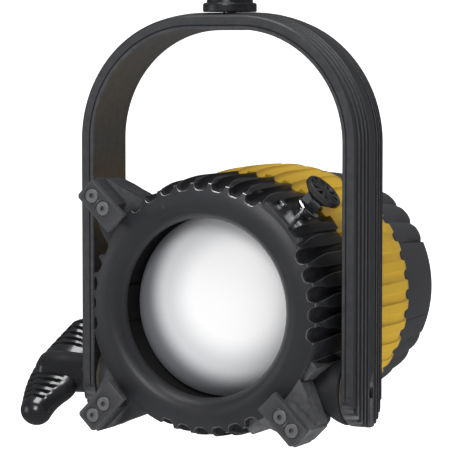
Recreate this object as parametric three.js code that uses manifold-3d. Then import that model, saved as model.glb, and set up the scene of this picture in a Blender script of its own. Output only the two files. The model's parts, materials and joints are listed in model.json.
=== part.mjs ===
/**
 * Focusing studio spotlight hung in a U-shaped yoke.
 *
 * Units are millimetres. +Z is up, the lens looks along -Y and the tilt axis lies along X.
 * Everything is drawn about the tilt axis and then lowered, so that the origin of the finished
 * model is the centre of the spigot's top face, which is where the light hangs from.
 * Parts of the lamp are drawn about its optical axis, which runs along Y above the tilt axis.
 */
import * as THREE from "three";
import { mergeVertices } from "three/addons/utils/BufferGeometryUtils.js";
import Module from "manifold-3d";

const wasm = await Module();
wasm.setup();

// ---------------------------------------------------------------- driving dimensions

const GAP = 0.3;

const YOKE_HALF_WIDTH = 92.3;
const YOKE_TOP = 224;
const YOKE_BEND_RADIUS = 76;
const YOKE_THICKNESS = 8.5;
const YOKE_DEPTH = 41.4;
const YOKE_CROWN = 2.1;
const YOKE_INNER_X = YOKE_HALF_WIDTH - YOKE_THICKNESS;
const YOKE_OUTER_X = YOKE_HALF_WIDTH + YOKE_CROWN;
const GROOVE_POSITIONS = [5.85, 10.05, 14.25, 18.45];
const GROOVE_HALF_WIDTH = 0.6;
const GROOVE_DEPTH = 0.9;

const SPIGOT_RADIUS = 14;
const SPIGOT_LENGTH = 80;
const SPIGOT_FLANGE_RADIUS = 16.35;
const SPIGOT_FLANGE_HEIGHT = 5.5;
const SPIGOT_BASE_Z = YOKE_TOP + YOKE_CROWN + GAP;
const SPIGOT_TOP_Z = SPIGOT_BASE_Z + SPIGOT_FLANGE_HEIGHT + SPIGOT_LENGTH;

const PIVOT_RADIUS = 4.9;
const PIVOT_HOLE_RADIUS = 5.2;
const BUSHING_RADIUS = 7.7;
const DISC_THICKNESS = 1.9;
const TRUNNION_RADIUS = 20.4;
const TRUNNION_FACE_X = YOKE_INNER_X - DISC_THICKNESS - 2 * GAP;
const TRUNNION_SCREW_YS = [-12, 12];
const TRUNNION_SCREW_OFFSET = 19;

const AXIS_HEIGHT = 49.3;
const CORNER_ANGLES = { upperRight: 45, upperLeft: 135, lowerLeft: 225, lowerRight: 315 };
const CORNER_FLAT = 74.6;
const SMOOTH_SECTORS = [[31.5, 58.5], [130.5, 148.5], [193.5, 247.5], [301.5, 346.5]];

const FLUTES = 40;
const BEZEL_BACK_Y = -33.3;
const BEZEL_TIP_RADIUS = 75.6;
const BEZEL_NOTCH_RADIUS = 71.4;
const MOUTH_RADIUS = 54;
const FRONT_HOUSING_END_Y = 18;
const HOUSING_BORE = 66.5;
const MID_HOUSING_END_Y = 95;
const MID_HOUSING_BORE = 74.5;

const LUG_HALF_WIDTH = 7.8;
const LUG_TIP = 101.5;
const WEB_FRONT_Y = -38.2;
const WEB_BACK_Y = -23;
const CLIP_INNER_END = 71;
const CLIP_HALF_WIDTH = 7.5;
const CLIP_FRONT_Y = -53;
const CLIP_THICKNESS = 4.4;
const CLIP_BACK_Y = CLIP_FRONT_Y + CLIP_THICKNESS;
const LUG_FRONT_Y = CLIP_BACK_Y + GAP;
const CLIP_SCREW_RADII = [83.6, 94.2];

const LENS_RADIUS = 55.6;
const LENS_SAG = 23.5;
const LENS_RIM_FRONT_Y = -10.5;
const LENS_BACK_Y = -5;
const BARREL_BORE = 57;
const BARREL_RADIUS = 62;

const LATCH_Y = 0;
const LATCH_OFFSET = 5;
const LATCH_FACE = 95.3;
const LATCH_FLOOR = 75;
const LATCH_KNOB_RADIUS = 12.3;
const LATCH_PIN_RADIUS = 2.5;

const CARRIAGE_REST_Y = 20;
const CARRIAGE_TRAVEL = 22;
const CARRIAGE_THICKNESS = 10;
const CARRIAGE_RADIUS = 61;
const ROD_CIRCLE = 52;
const ROD_ANGLES = [90, 210, 330];
const CAM_ANGLE = 30;
const CAM_TURN = 270;
const CAM_PIN_RADIUS = 2.2;
const SLEEVE_BORE = 62.2;
const SLEEVE_RADIUS = 65.5;

const HEAT_SINK_FRONT_Y = 63.1;
const HEAT_SINK_RADIUS = 61.5;
const WHEEL_FRONT_Y = 96;
const WHEEL_END_Y = 155.5;
const WHEEL_PITCHES = 30;
const WHEEL_PAD_HALF_ANGLE = 24;
const COVER_BACK_Y = 155.2;
const COVER_POST_CIRCLE = 17;
const COVER_POST_ANGLES = [90, 210, 330];
const INLET_Z = -38;

const LEVER_TILT = 36;
const LEVER_GROOVE_PITCH = 5.05;
const LEVER_GROOVE_DEPTH = 0.8;

const BLACK = "#2b2c2e";
const SATIN_BLACK = "#37383b";
const YELLOW = "#d9a514";
const STEEL = "#b9bcc0";
const SCREW_GREY = "#77797d";
const ALUMINIUM = "#9a9da1";

// ---------------------------------------------------------------- solids and shapes

const radians = THREE.MathUtils.degToRad;

/** Turns a closed geometry into a solid: merges its corners and makes its faces point out. */
function solidOf(geometry) {
  const bare = geometry.clone();
  bare.deleteAttribute("normal");
  bare.deleteAttribute("uv");
  const merged = mergeVertices(bare, 1e-4);
  const points = merged.attributes.position;
  const triangles = [];
  let volume = 0;
  const corner = [new THREE.Vector3(), new THREE.Vector3(), new THREE.Vector3()];
  for (let i = 0; i < merged.index.count; i += 3) {
    const ids = [0, 1, 2].map((k) => merged.index.getX(i + k));
    if (new Set(ids).size < 3) continue;
    ids.forEach((id, k) => corner[k].fromBufferAttribute(points, id));
    volume += corner[0].dot(corner[1].clone().cross(corner[2]));
    triangles.push(ids);
  }
  const facing = volume < 0 ? triangles.map(([a, b, c]) => [a, c, b]) : triangles;
  const mesh = new wasm.Mesh({
    numProp: 3,
    vertProperties: Float32Array.from(points.array),
    triVerts: Uint32Array.from(facing.flat()),
  });
  return new wasm.Manifold(mesh);
}

/** Gives a solid back as a drawable geometry. */
function geometryOf(solid) {
  const mesh = solid.getMesh();
  const geometry = new THREE.BufferGeometry();
  geometry.setAttribute("position", new THREE.BufferAttribute(new Float32Array(mesh.vertProperties), 3));
  geometry.setIndex(new THREE.BufferAttribute(new Uint32Array(mesh.triVerts), 1));
  geometry.computeVertexNormals();
  return geometry;
}

/** Joins and cuts: the first geometry, plus every one in `add`, minus every one in `cut`. */
function carve(first, { add = [], cut = [] } = {}) {
  let solid = solidOf(first);
  for (const piece of add) {
    solid = solid.add(solidOf(piece));
  }
  for (const piece of cut) {
    solid = solid.subtract(solidOf(piece));
  }
  return geometryOf(solid);
}

function common(first, second) {
  return geometryOf(solidOf(first).intersect(solidOf(second)));
}

/** A body turned about Y from [radius, y] pairs that start and end on the axis. */
function turned(outline, segments = 24) {
  const points = outline.map(([radius, y]) => new THREE.Vector2(radius, y));
  return new THREE.LatheGeometry(points, segments);
}

/** A ring turned about Y: its outline closes on itself. */
function turnedRing(outline, segments = 24) {
  return turned([...outline, outline[0]], segments);
}

/** A cylinder along Y between two heights. */
function rod(radius, from, to, segments = 16) {
  const cylinder = new THREE.CylinderGeometry(radius, radius, Math.abs(to - from), segments);
  return cylinder.translate(0, (from + to) / 2, 0);
}

/** Lays a body drawn along Y along +X, or stands it up along +Z. */
const alongX = (geometry) => geometry.rotateZ(-Math.PI / 2);
const alongZ = (geometry) => geometry.rotateX(Math.PI / 2);

/** Turns a body drawn along +X (and its width along Z) to a direction in the XZ plane. */
const toAngle = (geometry, degrees) => geometry.rotateY(-radians(degrees));

/** A body drawn along Y, pointed outwards at an angle in the XZ plane, at a given y. */
function radial(geometry, degrees, y = 0) {
  return toAngle(alongX(geometry), degrees).translate(0, y, 0);
}

function block(x, y, z) {
  const size = [x, y, z].map(([low, high]) => high - low);
  const centre = [x, y, z].map(([low, high]) => (low + high) / 2);
  return new THREE.BoxGeometry(...size).translate(...centre);
}

/** A flat outline in XZ given a thickness from yFront back to yBack. */
function plate(outline, yFront, yBack) {
  const shape = new THREE.Shape(outline.map(([x, z]) => new THREE.Vector2(x, z)));
  const geometry = new THREE.ExtrudeGeometry(shape, { depth: yBack - yFront, bevelEnabled: false });
  return geometry.rotateX(Math.PI / 2).translate(0, yBack, 0);
}

/** A point at an angle round the optical axis. */
function polar(degrees, radius, y) {
  const angle = radians(degrees);
  return new THREE.Vector3(radius * Math.cos(angle), y, radius * Math.sin(angle));
}

function signedArea(points) {
  return THREE.ShapeUtils.area(points);
}

/**
 * Skins rings that all have as many points. Without `section` the last ring joins the first.
 * With it, the 2-D outline of one ring, both ends are closed with flat caps.
 */
function loft(rings, section = null) {
  const count = rings[0].length;
  const index = [];
  const spans = section ? rings.length - 1 : rings.length;
  for (let i = 0; i < spans; i += 1) {
    const here = i * count;
    const next = ((i + 1) % rings.length) * count;
    for (let j = 0; j < count; j += 1) {
      const k = (j + 1) % count;
      index.push(here + j, here + k, next + j, here + k, next + k, next + j);
    }
  }
  if (section) {
    const turn = Math.sign(signedArea(section));
    const last = (rings.length - 1) * count;
    for (const face of THREE.ShapeUtils.triangulateShape(section, [])) {
      const same = Math.sign(signedArea(face.map((id) => section[id]))) === turn;
      const [a, b, c] = same ? face : [face[0], face[2], face[1]];
      index.push(a, c, b, last + a, last + b, last + c);
    }
  }
  const geometry = new THREE.BufferGeometry();
  const positions = rings.flat().flatMap((point) => [point.x, point.y, point.z]);
  geometry.setAttribute("position", new THREE.Float32BufferAttribute(positions, 3));
  geometry.setIndex(index);
  return geometry;
}

/** A curved tab: part of a ring round the optical axis. */
function sector(inner, outer, yFront, yBack, degrees, halfAngle) {
  const steps = 4;
  const outline = [];
  for (let i = 0; i <= steps; i += 1) {
    const angle = radians(-halfAngle + (2 * halfAngle * i) / steps);
    outline.push([outer * Math.cos(angle), outer * Math.sin(angle)]);
  }
  for (let i = steps; i >= 0; i -= 1) {
    const angle = radians(-halfAngle + (2 * halfAngle * i) / steps);
    outline.push([inner * Math.cos(angle), inner * Math.sin(angle)]);
  }
  return toAngle(plate(outline, yFront, yBack), degrees);
}

// ---------------------------------------------------------------- the scene graph

const light = new THREE.Group();
const yoke = new THREE.Group();
const lamp = new THREE.Group();
lamp.position.z = AXIS_HEIGHT;
light.add(yoke, lamp);
light.position.z = -SPIGOT_TOP_Z;

/** Adds one named part to a group, as one solid with its own material. */
function part(group, name, geometry, color, roughness = 0.5, metalness = 0) {
  const material = new THREE.MeshStandardMaterial({ color, roughness, metalness });
  const mesh = new THREE.Mesh(geometryOf(solidOf(geometry)), material);
  mesh.name = name;
  group.add(mesh);
  return mesh;
}

// ---------------------------------------------------------------- yoke and spigot

function crownAt(y) {
  const full = YOKE_DEPTH / 2;
  return YOKE_CROWN * (1 - (y / full) ** 2);
}

/** The bar's section as [y, distance outside the shoulder line], once round. */
function yokeSection() {
  const edge = YOKE_DEPTH / 2;
  const front = [
    [-edge, -YOKE_THICKNESS],
    [-edge, -6.2],
    [-edge + 0.6, -5.85],
    [-edge, -5.5],
    [-edge, -0.9],
    [-edge + 0.8, 0],
  ];
  const outer = [];
  const centres = [...GROOVE_POSITIONS.map((y) => -y).reverse(), ...GROOVE_POSITIONS];
  for (const y of centres) {
    const floor = GROOVE_HALF_WIDTH * 0.6;
    outer.push([y - GROOVE_HALF_WIDTH, crownAt(y)]);
    outer.push([y - floor, crownAt(y) - GROOVE_DEPTH]);
    outer.push([y + floor, crownAt(y) - GROOVE_DEPTH]);
    outer.push([y + GROOVE_HALF_WIDTH, crownAt(y)]);
    if (y === -GROOVE_POSITIONS[0]) outer.push([0, crownAt(0)]);
  }
  const rear = front.map(([y, offset]) => [-y, offset]).reverse();
  return [...front, ...outer, ...rear];
}

/** Places along the shoulder line with the direction that points out of the U. */
function yokeStations() {
  const steps = 6;
  const centreX = YOKE_HALF_WIDTH - YOKE_BEND_RADIUS;
  const centreZ = YOKE_TOP - YOKE_BEND_RADIUS;
  const bend = [];
  for (let i = 0; i <= steps; i += 1) {
    const angle = (Math.PI / 2) * (i / steps);
    const out = [Math.cos(angle), Math.sin(angle)];
    bend.push({ x: centreX + YOKE_BEND_RADIUS * out[0], z: centreZ + YOKE_BEND_RADIUS * out[1], out });
  }
  const foot = { x: YOKE_HALF_WIDTH, z: -YOKE_DEPTH / 2 - 1, out: [1, 0] };
  const right = [foot, ...bend];
  const left = right.map(({ x, z, out }) => ({ x: -x, z, out: [-out[0], out[1]] })).reverse();
  return [...right, ...left];
}

function yokeBow() {
  const section = yokeSection();
  const rings = yokeStations().map(({ x, z, out }) =>
    section.map(([y, offset]) => new THREE.Vector3(x + out[0] * offset, y, z + out[1] * offset)),
  );
  const flat = section.map(([y, offset]) => new THREE.Vector2(y, offset));
  const reach = YOKE_OUTER_X + 5;
  const feet = carve(block([-reach, reach], [-30, 30], [-40, 0]), {
    cut: [alongX(rod(YOKE_DEPTH / 2, -reach - 1, reach + 1, 48))],
  });
  const cut = [
    feet,
    alongX(rod(BUSHING_RADIUS + GAP, -reach, -70)),
    alongX(rod(BUSHING_RADIUS + GAP, 70, YOKE_HALF_WIDTH - 2)),
    alongX(rod(3.5, 80, reach)),
    alongZ(rod(9.3, YOKE_TOP - 20, YOKE_TOP - 3)),
    alongZ(rod(4.6, YOKE_TOP - 20, YOKE_TOP + 10)),
  ];
  return carve(loft(rings, flat), { cut });
}

function spigot() {
  const neck = SPIGOT_FLANGE_HEIGHT;
  const end = SPIGOT_FLANGE_HEIGHT + SPIGOT_LENGTH;
  const outline = [
    [0, 26],
    [4.4, 26],
    [4.4, 0],
    [SPIGOT_FLANGE_RADIUS, 0],
    [SPIGOT_FLANGE_RADIUS, neck - 1.5],
    [SPIGOT_FLANGE_RADIUS - 0.5, neck - 0.5],
    [SPIGOT_FLANGE_RADIUS - 1.5, neck],
    [SPIGOT_RADIUS, neck],
    [SPIGOT_RADIUS, end - 20],
    [SPIGOT_RADIUS - 1.6, end - 18.4],
    [SPIGOT_RADIUS - 1.6, end - 13.6],
    [SPIGOT_RADIUS, end - 12],
    [SPIGOT_RADIUS, end - 1.5],
    [SPIGOT_RADIUS - 1.5, end],
    [0, end],
  ];
  return alongZ(turned(outline, 24)).translate(0, 0, SPIGOT_BASE_Z);
}

function spigotBolt(headTop) {
  const head = alongZ(rod(8, headTop - 3.3, headTop));
  const shank = alongZ(rod(4, headTop - 1, SPIGOT_BASE_Z + 24));
  const socket = alongZ(rod(3.4, headTop - 5, headTop - 1.6, 6));
  return carve(head, { add: [shank], cut: [socket] });
}

function washer(inner, outer, from, to) {
  return turnedRing([[inner, from], [outer, from], [outer, to], [inner, to]], 18);
}

part(yoke, "yoke_bow", yokeBow(), SATIN_BLACK, 0.45, 0.3);
part(yoke, "spigot", spigot(), BLACK, 0.4, 0.4);
const washerTop = YOKE_TOP - 3 - GAP;
part(yoke, "spigot_washer", alongZ(washer(4.4, 9, washerTop - 1.5, washerTop)), STEEL, 0.35, 0.9);
part(yoke, "spigot_bolt", spigotBolt(washerTop - 1.5 - GAP), SCREW_GREY, 0.4, 0.9);
part(
  yoke,
  "left_bushing",
  alongX(washer(PIVOT_HOLE_RADIUS, BUSHING_RADIUS, -YOKE_OUTER_X + 1, -YOKE_INNER_X)),
  "#8a6a3a",
  0.5,
  0.6,
);
part(
  yoke,
  "right_bushing",
  alongX(washer(PIVOT_HOLE_RADIUS, BUSHING_RADIUS, YOKE_INNER_X, YOKE_HALF_WIDTH - 2 - GAP)),
  "#8a6a3a",
  0.5,
  0.6,
);

// ---------------------------------------------------------------- tilt pivots and lock lever

/** Corner frame to tilt frame: a body drawn about the optical axis, moved to the yoke's frame. */
const fromLampAxis = (geometry) => geometry.translate(0, 0, AXIS_HEIGHT);

/** The lower right trunnion: a round boss that nests in the corner beside the lower right lug. */
function trunnion(side) {
  const round = alongX(rod(TRUNNION_RADIUS, 40, TRUNNION_FACE_X, 40));
  const corner = block([CORNER_FLAT + GAP, 140], [-40, 40], [LUG_HALF_WIDTH + GAP, 90]);
  const nose = common(round, fromLampAxis(toAngle(corner, CORNER_ANGLES.lowerRight)));
  const drilled = carve(nose, {
    cut: [
      alongX(rod(PIVOT_HOLE_RADIUS, 66, TRUNNION_FACE_X + 1)),
      ...TRUNNION_SCREW_YS.map((y) => trunnionHole(2.6, 70, 85, y)),
      fromLampAxis(rod(83, FRONT_HOUSING_END_Y - GAP, 40, 48)),
    ],
  });
  return side < 0 ? drilled.scale(-1, 1, 1) : drilled;
}

/** A hole or shank from the lamp's bore out through the lower right corner flat. */
function trunnionHole(radius, from, to, y) {
  const hole = alongX(rod(radius, from, to, 16)).translate(0, y, TRUNNION_SCREW_OFFSET);
  return fromLampAxis(toAngle(hole, CORNER_ANGLES.lowerRight));
}

function trunnionScrew(side, y) {
  const geometry = carve(trunnionHole(4.4, 65.2, 68.2, y), {
    add: [trunnionHole(2.3, 67, 84, y)],
    cut: [trunnionHole(2.2, 60, 66.8, y)],
  });
  return side < 0 ? geometry.scale(-1, 1, 1) : geometry;
}

function pivotBolt() {
  const end = YOKE_HALF_WIDTH - 2 - GAP;
  const body = alongX(rod(PIVOT_RADIUS, 67, end));
  return carve(body, { cut: [alongX(rod(2.9, end - 4, end + 1, 6))] });
}

/** The grip from its middle to its rounded end: [along, outer x, inner x, half thickness]. */
const LEVER_OUTLINE = [
  [0, -140.3, -102, 8.8],
  [9, -139.4, -102, 8.8],
  [18, -137.4, -103, 8.6],
  [24, -135.4, -106.4, 8.4],
  [30, -133.4, -109.2, 8.6],
  [36, -131.2, -110.2, 9.3],
  [40, -129.2, -111, 9],
  [43.6, -126.6, -113, 7.2],
  [46, -123.2, -115.6, 4],
];

/** The grip's outer x, inner x and half thickness at a place along it. */
function leverWidths(along) {
  const far = Math.abs(along);
  const after = Math.max(1, LEVER_OUTLINE.findIndex(([station]) => station >= far));
  const [from, to] = [LEVER_OUTLINE[after - 1], LEVER_OUTLINE[after]];
  const share = (far - from[0]) / (to[0] - from[0]);
  return [1, 2, 3].map((k) => from[k] + (to[k] - from[k]) * share);
}

/** Places along the grip with the depth of its finger grooves there: seven below, five above. */
function leverStations() {
  const lower = Array.from({ length: 7 }, (_, i) => -1 - i * LEVER_GROOVE_PITCH);
  const upper = Array.from({ length: 5 }, (_, i) => 17 + i * LEVER_GROOVE_PITCH);
  const free = LEVER_OUTLINE.flatMap(([along]) => [[-along, 0], [along, 0]]).filter(
    ([along]) => along < -33 || (along > 1 && along < 15) || along > 39,
  );
  const grooves = [...lower, ...upper].flatMap((along) => [
    [along - 1.5, 0],
    [along - 0.7, LEVER_GROOVE_DEPTH],
    [along + 0.7, LEVER_GROOVE_DEPTH],
    [along + 1.5, 0],
  ]);
  return [...free, ...grooves].sort((a, b) => a[0] - b[0]);
}

function leverBar() {
  const sides = 10;
  const tilt = radians(LEVER_TILT);
  const circle = Array.from({ length: sides }, (_, i) => {
    const angle = (2 * Math.PI * (i + 0.5)) / sides;
    return new THREE.Vector2(Math.cos(angle), Math.sin(angle));
  });
  const rings = leverStations().map(([along, depth]) => {
    const [outer, inner, half] = leverWidths(along);
    return circle.map((point) => {
      const sunk = point.x < 0.1 ? depth : 0;
      const across = (half - sunk) * point.y;
      return new THREE.Vector3(
        (outer + inner) / 2 + ((inner - outer) / 2 - sunk) * point.x,
        along * Math.cos(tilt) - across * Math.sin(tilt),
        along * Math.sin(tilt) + across * Math.cos(tilt),
      );
    });
  });
  return loft(rings, circle);
}

const LEVER_HUB_START = YOKE_OUTER_X + GAP + 1.5 + GAP;

function tiltLever() {
  const hub = alongX(
    turned(
      [
        [0, -138],
        [6, -137.2],
        [11, -134],
        [13.2, -128],
        [13, -118],
        [12.6, -108],
        [12.5, -LEVER_HUB_START - 1],
        [11.5, -LEVER_HUB_START],
        [0, -LEVER_HUB_START],
      ],
      24,
    ),
  );
  const cut = [
    alongX(rod(PIVOT_HOLE_RADIUS, -121, -LEVER_HUB_START + 1)),
    alongX(rod(9.6, -LEVER_HUB_START - 7.6, -LEVER_HUB_START + 1, 6)),
  ];
  return carve(leverBar(), { add: [hub], cut });
}

function leverNut() {
  const from = -LEVER_HUB_START - 7.3;
  const to = -LEVER_HUB_START;
  return carve(alongX(rod(9.25, from, to, 6)), { cut: [alongX(rod(PIVOT_HOLE_RADIUS, from - 1, to + 1))] });
}

const discInner = YOKE_INNER_X - GAP;
for (const [side, name] of [[-1, "left"], [1, "right"]]) {
  part(yoke, `${name}_trunnion`, trunnion(side), SATIN_BLACK, 0.45, 0.3);
  const disc = washer(6, 19, side * (discInner - DISC_THICKNESS), side * discInner);
  part(yoke, `${name}_friction_disc`, alongX(disc), "#4a4238", 0.9);
  TRUNNION_SCREW_YS.forEach((y, i) => {
    part(yoke, `${name}_trunnion_screw_${i + 1}`, trunnionScrew(side, y), STEEL, 0.35, 0.9);
  });
}
part(yoke, "right_pivot_bolt", pivotBolt(), STEEL, 0.35, 0.9);
part(yoke, "tilt_stud", alongX(rod(PIVOT_RADIUS, -119.5, -67)), STEEL, 0.35, 0.9);
const leverWasher = alongX(washer(5.6, 13, -LEVER_HUB_START + GAP, -YOKE_OUTER_X - GAP));
part(yoke, "lever_washer", leverWasher, STEEL, 0.35, 0.9);
part(yoke, "lever_nut", leverNut(), "#b08d4c", 0.4, 0.8);
part(yoke, "tilt_lever", tiltLever(), BLACK, 0.3, 0.1);

// ---------------------------------------------------------------- bezel, lugs and clip plates

/** Angle between a direction and the nearest corner diagonal. */
function fromCorner(degrees) {
  const turn = (((degrees - 45) % 90) + 90) % 90;
  return Math.min(turn, 90 - turn);
}

/** The radius at an angle, held back by the flat that every corner but the upper right one has. */
function withFlat(degrees, radius) {
  if (Math.abs(degrees - CORNER_ANGLES.upperRight) < 45) return radius;
  return Math.min(radius, CORNER_FLAT / Math.cos(radians(fromCorner(degrees))));
}

function isSmooth(degrees) {
  return SMOOTH_SECTORS.some(([from, to]) => degrees > from && degrees < to);
}

/** One ring of points with a crest and a valley for each flute, flat at three corners. */
function flutedRing(crest, valley, y) {
  return Array.from({ length: FLUTES * 2 }, (_, i) => {
    const angle = (i * 180) / FLUTES;
    const high = i % 2 === 1 || isSmooth(angle);
    return polar(angle, withFlat(angle, high ? crest : valley), y);
  });
}

/** A fluted ring that is round all over, without flats or smooth sectors. */
function roundFlutedRing(crest, valley, y) {
  return Array.from({ length: FLUTES * 2 }, (_, i) => polar((i * 180) / FLUTES, i % 2 ? crest : valley, y));
}

function plainRing(radius, y) {
  return flutedRing(radius, radius, y);
}

/** A block at a corner: u runs out along the diagonal, v across it. */
function cornerBlock(corner, u, y, v) {
  return toAngle(block(u, y, v), CORNER_ANGLES[corner]);
}

/** A lug's bar: it carries the clip plate in front and slopes down to the housing behind. */
function lugBar() {
  const outline = [
    [70, WEB_FRONT_Y],
    [79.5, WEB_FRONT_Y],
    [79.5, LUG_FRONT_Y],
    [LUG_TIP - 1, LUG_FRONT_Y],
    [LUG_TIP, LUG_FRONT_Y + 1],
    [LUG_TIP, -26],
    [99, -17],
    [94, -10],
    [86, -2],
    [76.5, 4.5],
    [CORNER_FLAT + GAP, 4.5],
    [CORNER_FLAT + GAP, BEZEL_BACK_Y],
    [70, BEZEL_BACK_Y],
  ];
  const shape = new THREE.Shape(outline.map(([u, y]) => new THREE.Vector2(u, y)));
  const bar = new THREE.ExtrudeGeometry(shape, { depth: 2 * LUG_HALF_WIDTH, bevelEnabled: false });
  return bar.translate(0, 0, -LUG_HALF_WIDTH);
}

/** The web that spreads the lug into the bezel, narrowing towards the lug's tip. */
function lugWeb() {
  const half = [[CORNER_FLAT + GAP, 18.3], [78, 17.5], [85, 14.6], [92, 11.5], [98.5, 9], [101.5, 6]];
  const outline = [...half, ...half.map(([u, v]) => [u, -v]).reverse()];
  const foot = block([68, CORNER_FLAT + 1], [WEB_FRONT_Y, BEZEL_BACK_Y], [-18.3, 18.3]);
  return carve(plate(outline, WEB_FRONT_Y, WEB_BACK_Y), { add: [foot] });
}

const lug = (corner) => toAngle(carve(lugBar(), { add: [lugWeb()] }), CORNER_ANGLES[corner]);

const CLIPPED_CORNERS = [
  ["upperLeft", "upper_left"],
  ["lowerLeft", "lower_left"],
  ["lowerRight", "lower_right"],
];

function frontBezel() {
  const rings = [
    plainRing(MOUTH_RADIUS + 1.5, BEZEL_BACK_Y + 2.7),
    plainRing(MOUTH_RADIUS, -31.5),
    plainRing(57.2, -38.2),
    plainRing(63.6, -41.4),
    plainRing(69.4, -40),
    flutedRing(73.4, 70.6, -38.8),
    flutedRing(BEZEL_TIP_RADIUS, BEZEL_NOTCH_RADIUS, -37.6),
    flutedRing(BEZEL_TIP_RADIUS, BEZEL_NOTCH_RADIUS, BEZEL_BACK_Y),
    plainRing(66, BEZEL_BACK_Y),
    plainRing(64, BEZEL_BACK_Y + 2.7),
  ];
  const lip = cornerBlock("upperRight", [68, 77], [-38.8, BEZEL_BACK_Y], [-15.5, 15.5]);
  const holes = CLIPPED_CORNERS.flatMap(([corner]) =>
    CLIP_SCREW_RADII.map((u) =>
      rod(2.6, LUG_FRONT_Y - 1, LUG_FRONT_Y + 10, 12).translate(
        ...polar(CORNER_ANGLES[corner], u, 0).toArray(),
      ),
    ),
  );
  const lugs = CLIPPED_CORNERS.map(([corner]) => lug(corner));
  return carve(loft(rings), { add: [...lugs, lip], cut: holes });
}

function clipPlate(corner) {
  const tip = LUG_TIP - 0.3;
  const outline = [
    [CLIP_INNER_END, -CLIP_HALF_WIDTH],
    [tip - 1.5, -CLIP_HALF_WIDTH],
    [tip, -CLIP_HALF_WIDTH + 1.5],
    [tip, CLIP_HALF_WIDTH - 1.5],
    [tip - 1.5, CLIP_HALF_WIDTH],
    [CLIP_INNER_END, CLIP_HALF_WIDTH],
  ];
  const cut = CLIP_SCREW_RADII.map((u) =>
    turned([[0, -60], [5, -60], [5, CLIP_FRONT_Y], [2.7, CLIP_FRONT_Y + 2.8], [2.7, -40], [0, -40]], 16)
      .translate(u, 0, 0),
  );
  return toAngle(carve(plate(outline, CLIP_FRONT_Y, CLIP_BACK_Y), { cut }), CORNER_ANGLES[corner]);
}

/** A countersunk socket screw, head at the clip plate's face. */
function clipScrew() {
  const front = CLIP_FRONT_Y + 0.2;
  const body = turned(
    [[0, front], [4.35, front], [4.35, front + 0.2], [2.1, front + 2.6], [2.1, -41], [0, -41]],
    14,
  );
  return carve(body, { cut: [rod(1.75, front - 1, front + 2, 6)] });
}

part(lamp, "front_bezel", frontBezel(), SATIN_BLACK, 0.4, 0.3);
for (const [corner, words] of CLIPPED_CORNERS) {
  part(lamp, `clip_plate_${words}`, clipPlate(corner), SATIN_BLACK, 0.5, 0.3);
  CLIP_SCREW_RADII.forEach((u, i) => {
    const mesh = part(lamp, `clip_screw_${words}_${i + 1}`, clipScrew(), SCREW_GREY, 0.45, 0.8);
    mesh.position.copy(polar(CORNER_ANGLES[corner], u, 0));
  });
}

// ---------------------------------------------------------------- housings

/** Stands a body drawn along Y on the latch's axis, beside the upper right corner's diagonal. */
function latchPlace(geometry) {
  return toAngle(alongX(geometry).translate(0, LATCH_Y, LATCH_OFFSET), CORNER_ANGLES.upperRight);
}

function frontHousing() {
  const front = BEZEL_BACK_Y + GAP;
  const back = FRONT_HOUSING_END_Y;
  const rings = [
    plainRing(HOUSING_BORE, front),
    flutedRing(75.4, 71, front),
    flutedRing(78.4, 73.6, -26),
    flutedRing(79.9, 75.4, -10),
    flutedRing(80, 77.2, back),
    plainRing(74.1, back),
    plainRing(74.1, back + 8),
    plainRing(70, back + 8),
    plainRing(HOUSING_BORE, back - 3),
  ];
  const screwHoles = [1, -1].flatMap((side) =>
    TRUNNION_SCREW_YS.flatMap((y) =>
      [trunnionHole(4.8, 58, 68.5, y), trunnionHole(2.7, 60, 80, y)].map((hole) => {
        const lowered = hole.translate(0, 0, -AXIS_HEIGHT);
        return side < 0 ? lowered.scale(-1, 1, 1) : lowered;
      }),
    ),
  );
  const channel = cornerBlock("upperRight", [LATCH_FLOOR, 90], [front - 1, back + 1], [-6, 15]);
  const latchHole = latchPlace(rod(5.7, 60, 84));
  return carve(loft(rings), { cut: [channel, latchHole, ...screwHoles] });
}

function midHousing() {
  const front = FRONT_HOUSING_END_Y + 0.4;
  const rings = [
    plainRing(MID_HOUSING_BORE, front),
    roundFlutedRing(79.8, 78.4, front),
    roundFlutedRing(82.6, 81.2, 48),
    roundFlutedRing(82.2, 81.2, 80),
    roundFlutedRing(80.6, 79.4, 90),
    roundFlutedRing(78.4, 77.4, MID_HOUSING_END_Y),
    plainRing(MID_HOUSING_BORE, MID_HOUSING_END_Y),
  ];
  return loft(rings);
}

part(lamp, "front_housing", frontHousing(), BLACK, 0.4, 0.2);
part(lamp, "mid_housing", midHousing(), YELLOW, 0.45, 0.1);

// ---------------------------------------------------------------- front lens and barrel

function lens() {
  const steps = 9;
  const dome = Array.from({ length: steps + 1 }, (_, i) => {
    const angle = (Math.PI / 2) * (i / steps);
    return [LENS_RADIUS * Math.sin(angle), LENS_RIM_FRONT_Y - LENS_SAG * Math.cos(angle)];
  });
  return turned([...dome, [LENS_RADIUS, LENS_BACK_Y], [0, LENS_BACK_Y]], 32);
}

function lensBarrel() {
  const outline = [
    [BARREL_BORE, -30.3],
    [BARREL_RADIUS, -30.3],
    [BARREL_RADIUS, 9],
    [HOUSING_BORE - GAP, 9],
    [HOUSING_BORE - GAP, 14],
    [44, 14],
    [44, 9],
    [52, 9],
    [52, -3],
    [BARREL_BORE, -3],
  ];
  const cut = ROD_ANGLES.map((angle) =>
    rod(4.3, 11, 15, 16).translate(...polar(angle, ROD_CIRCLE, 0).toArray()),
  );
  cut.push(latchPlace(rod(2.9, 57.5, 70, 16)));
  return carve(turnedRing(outline, 36), { cut });
}

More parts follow.
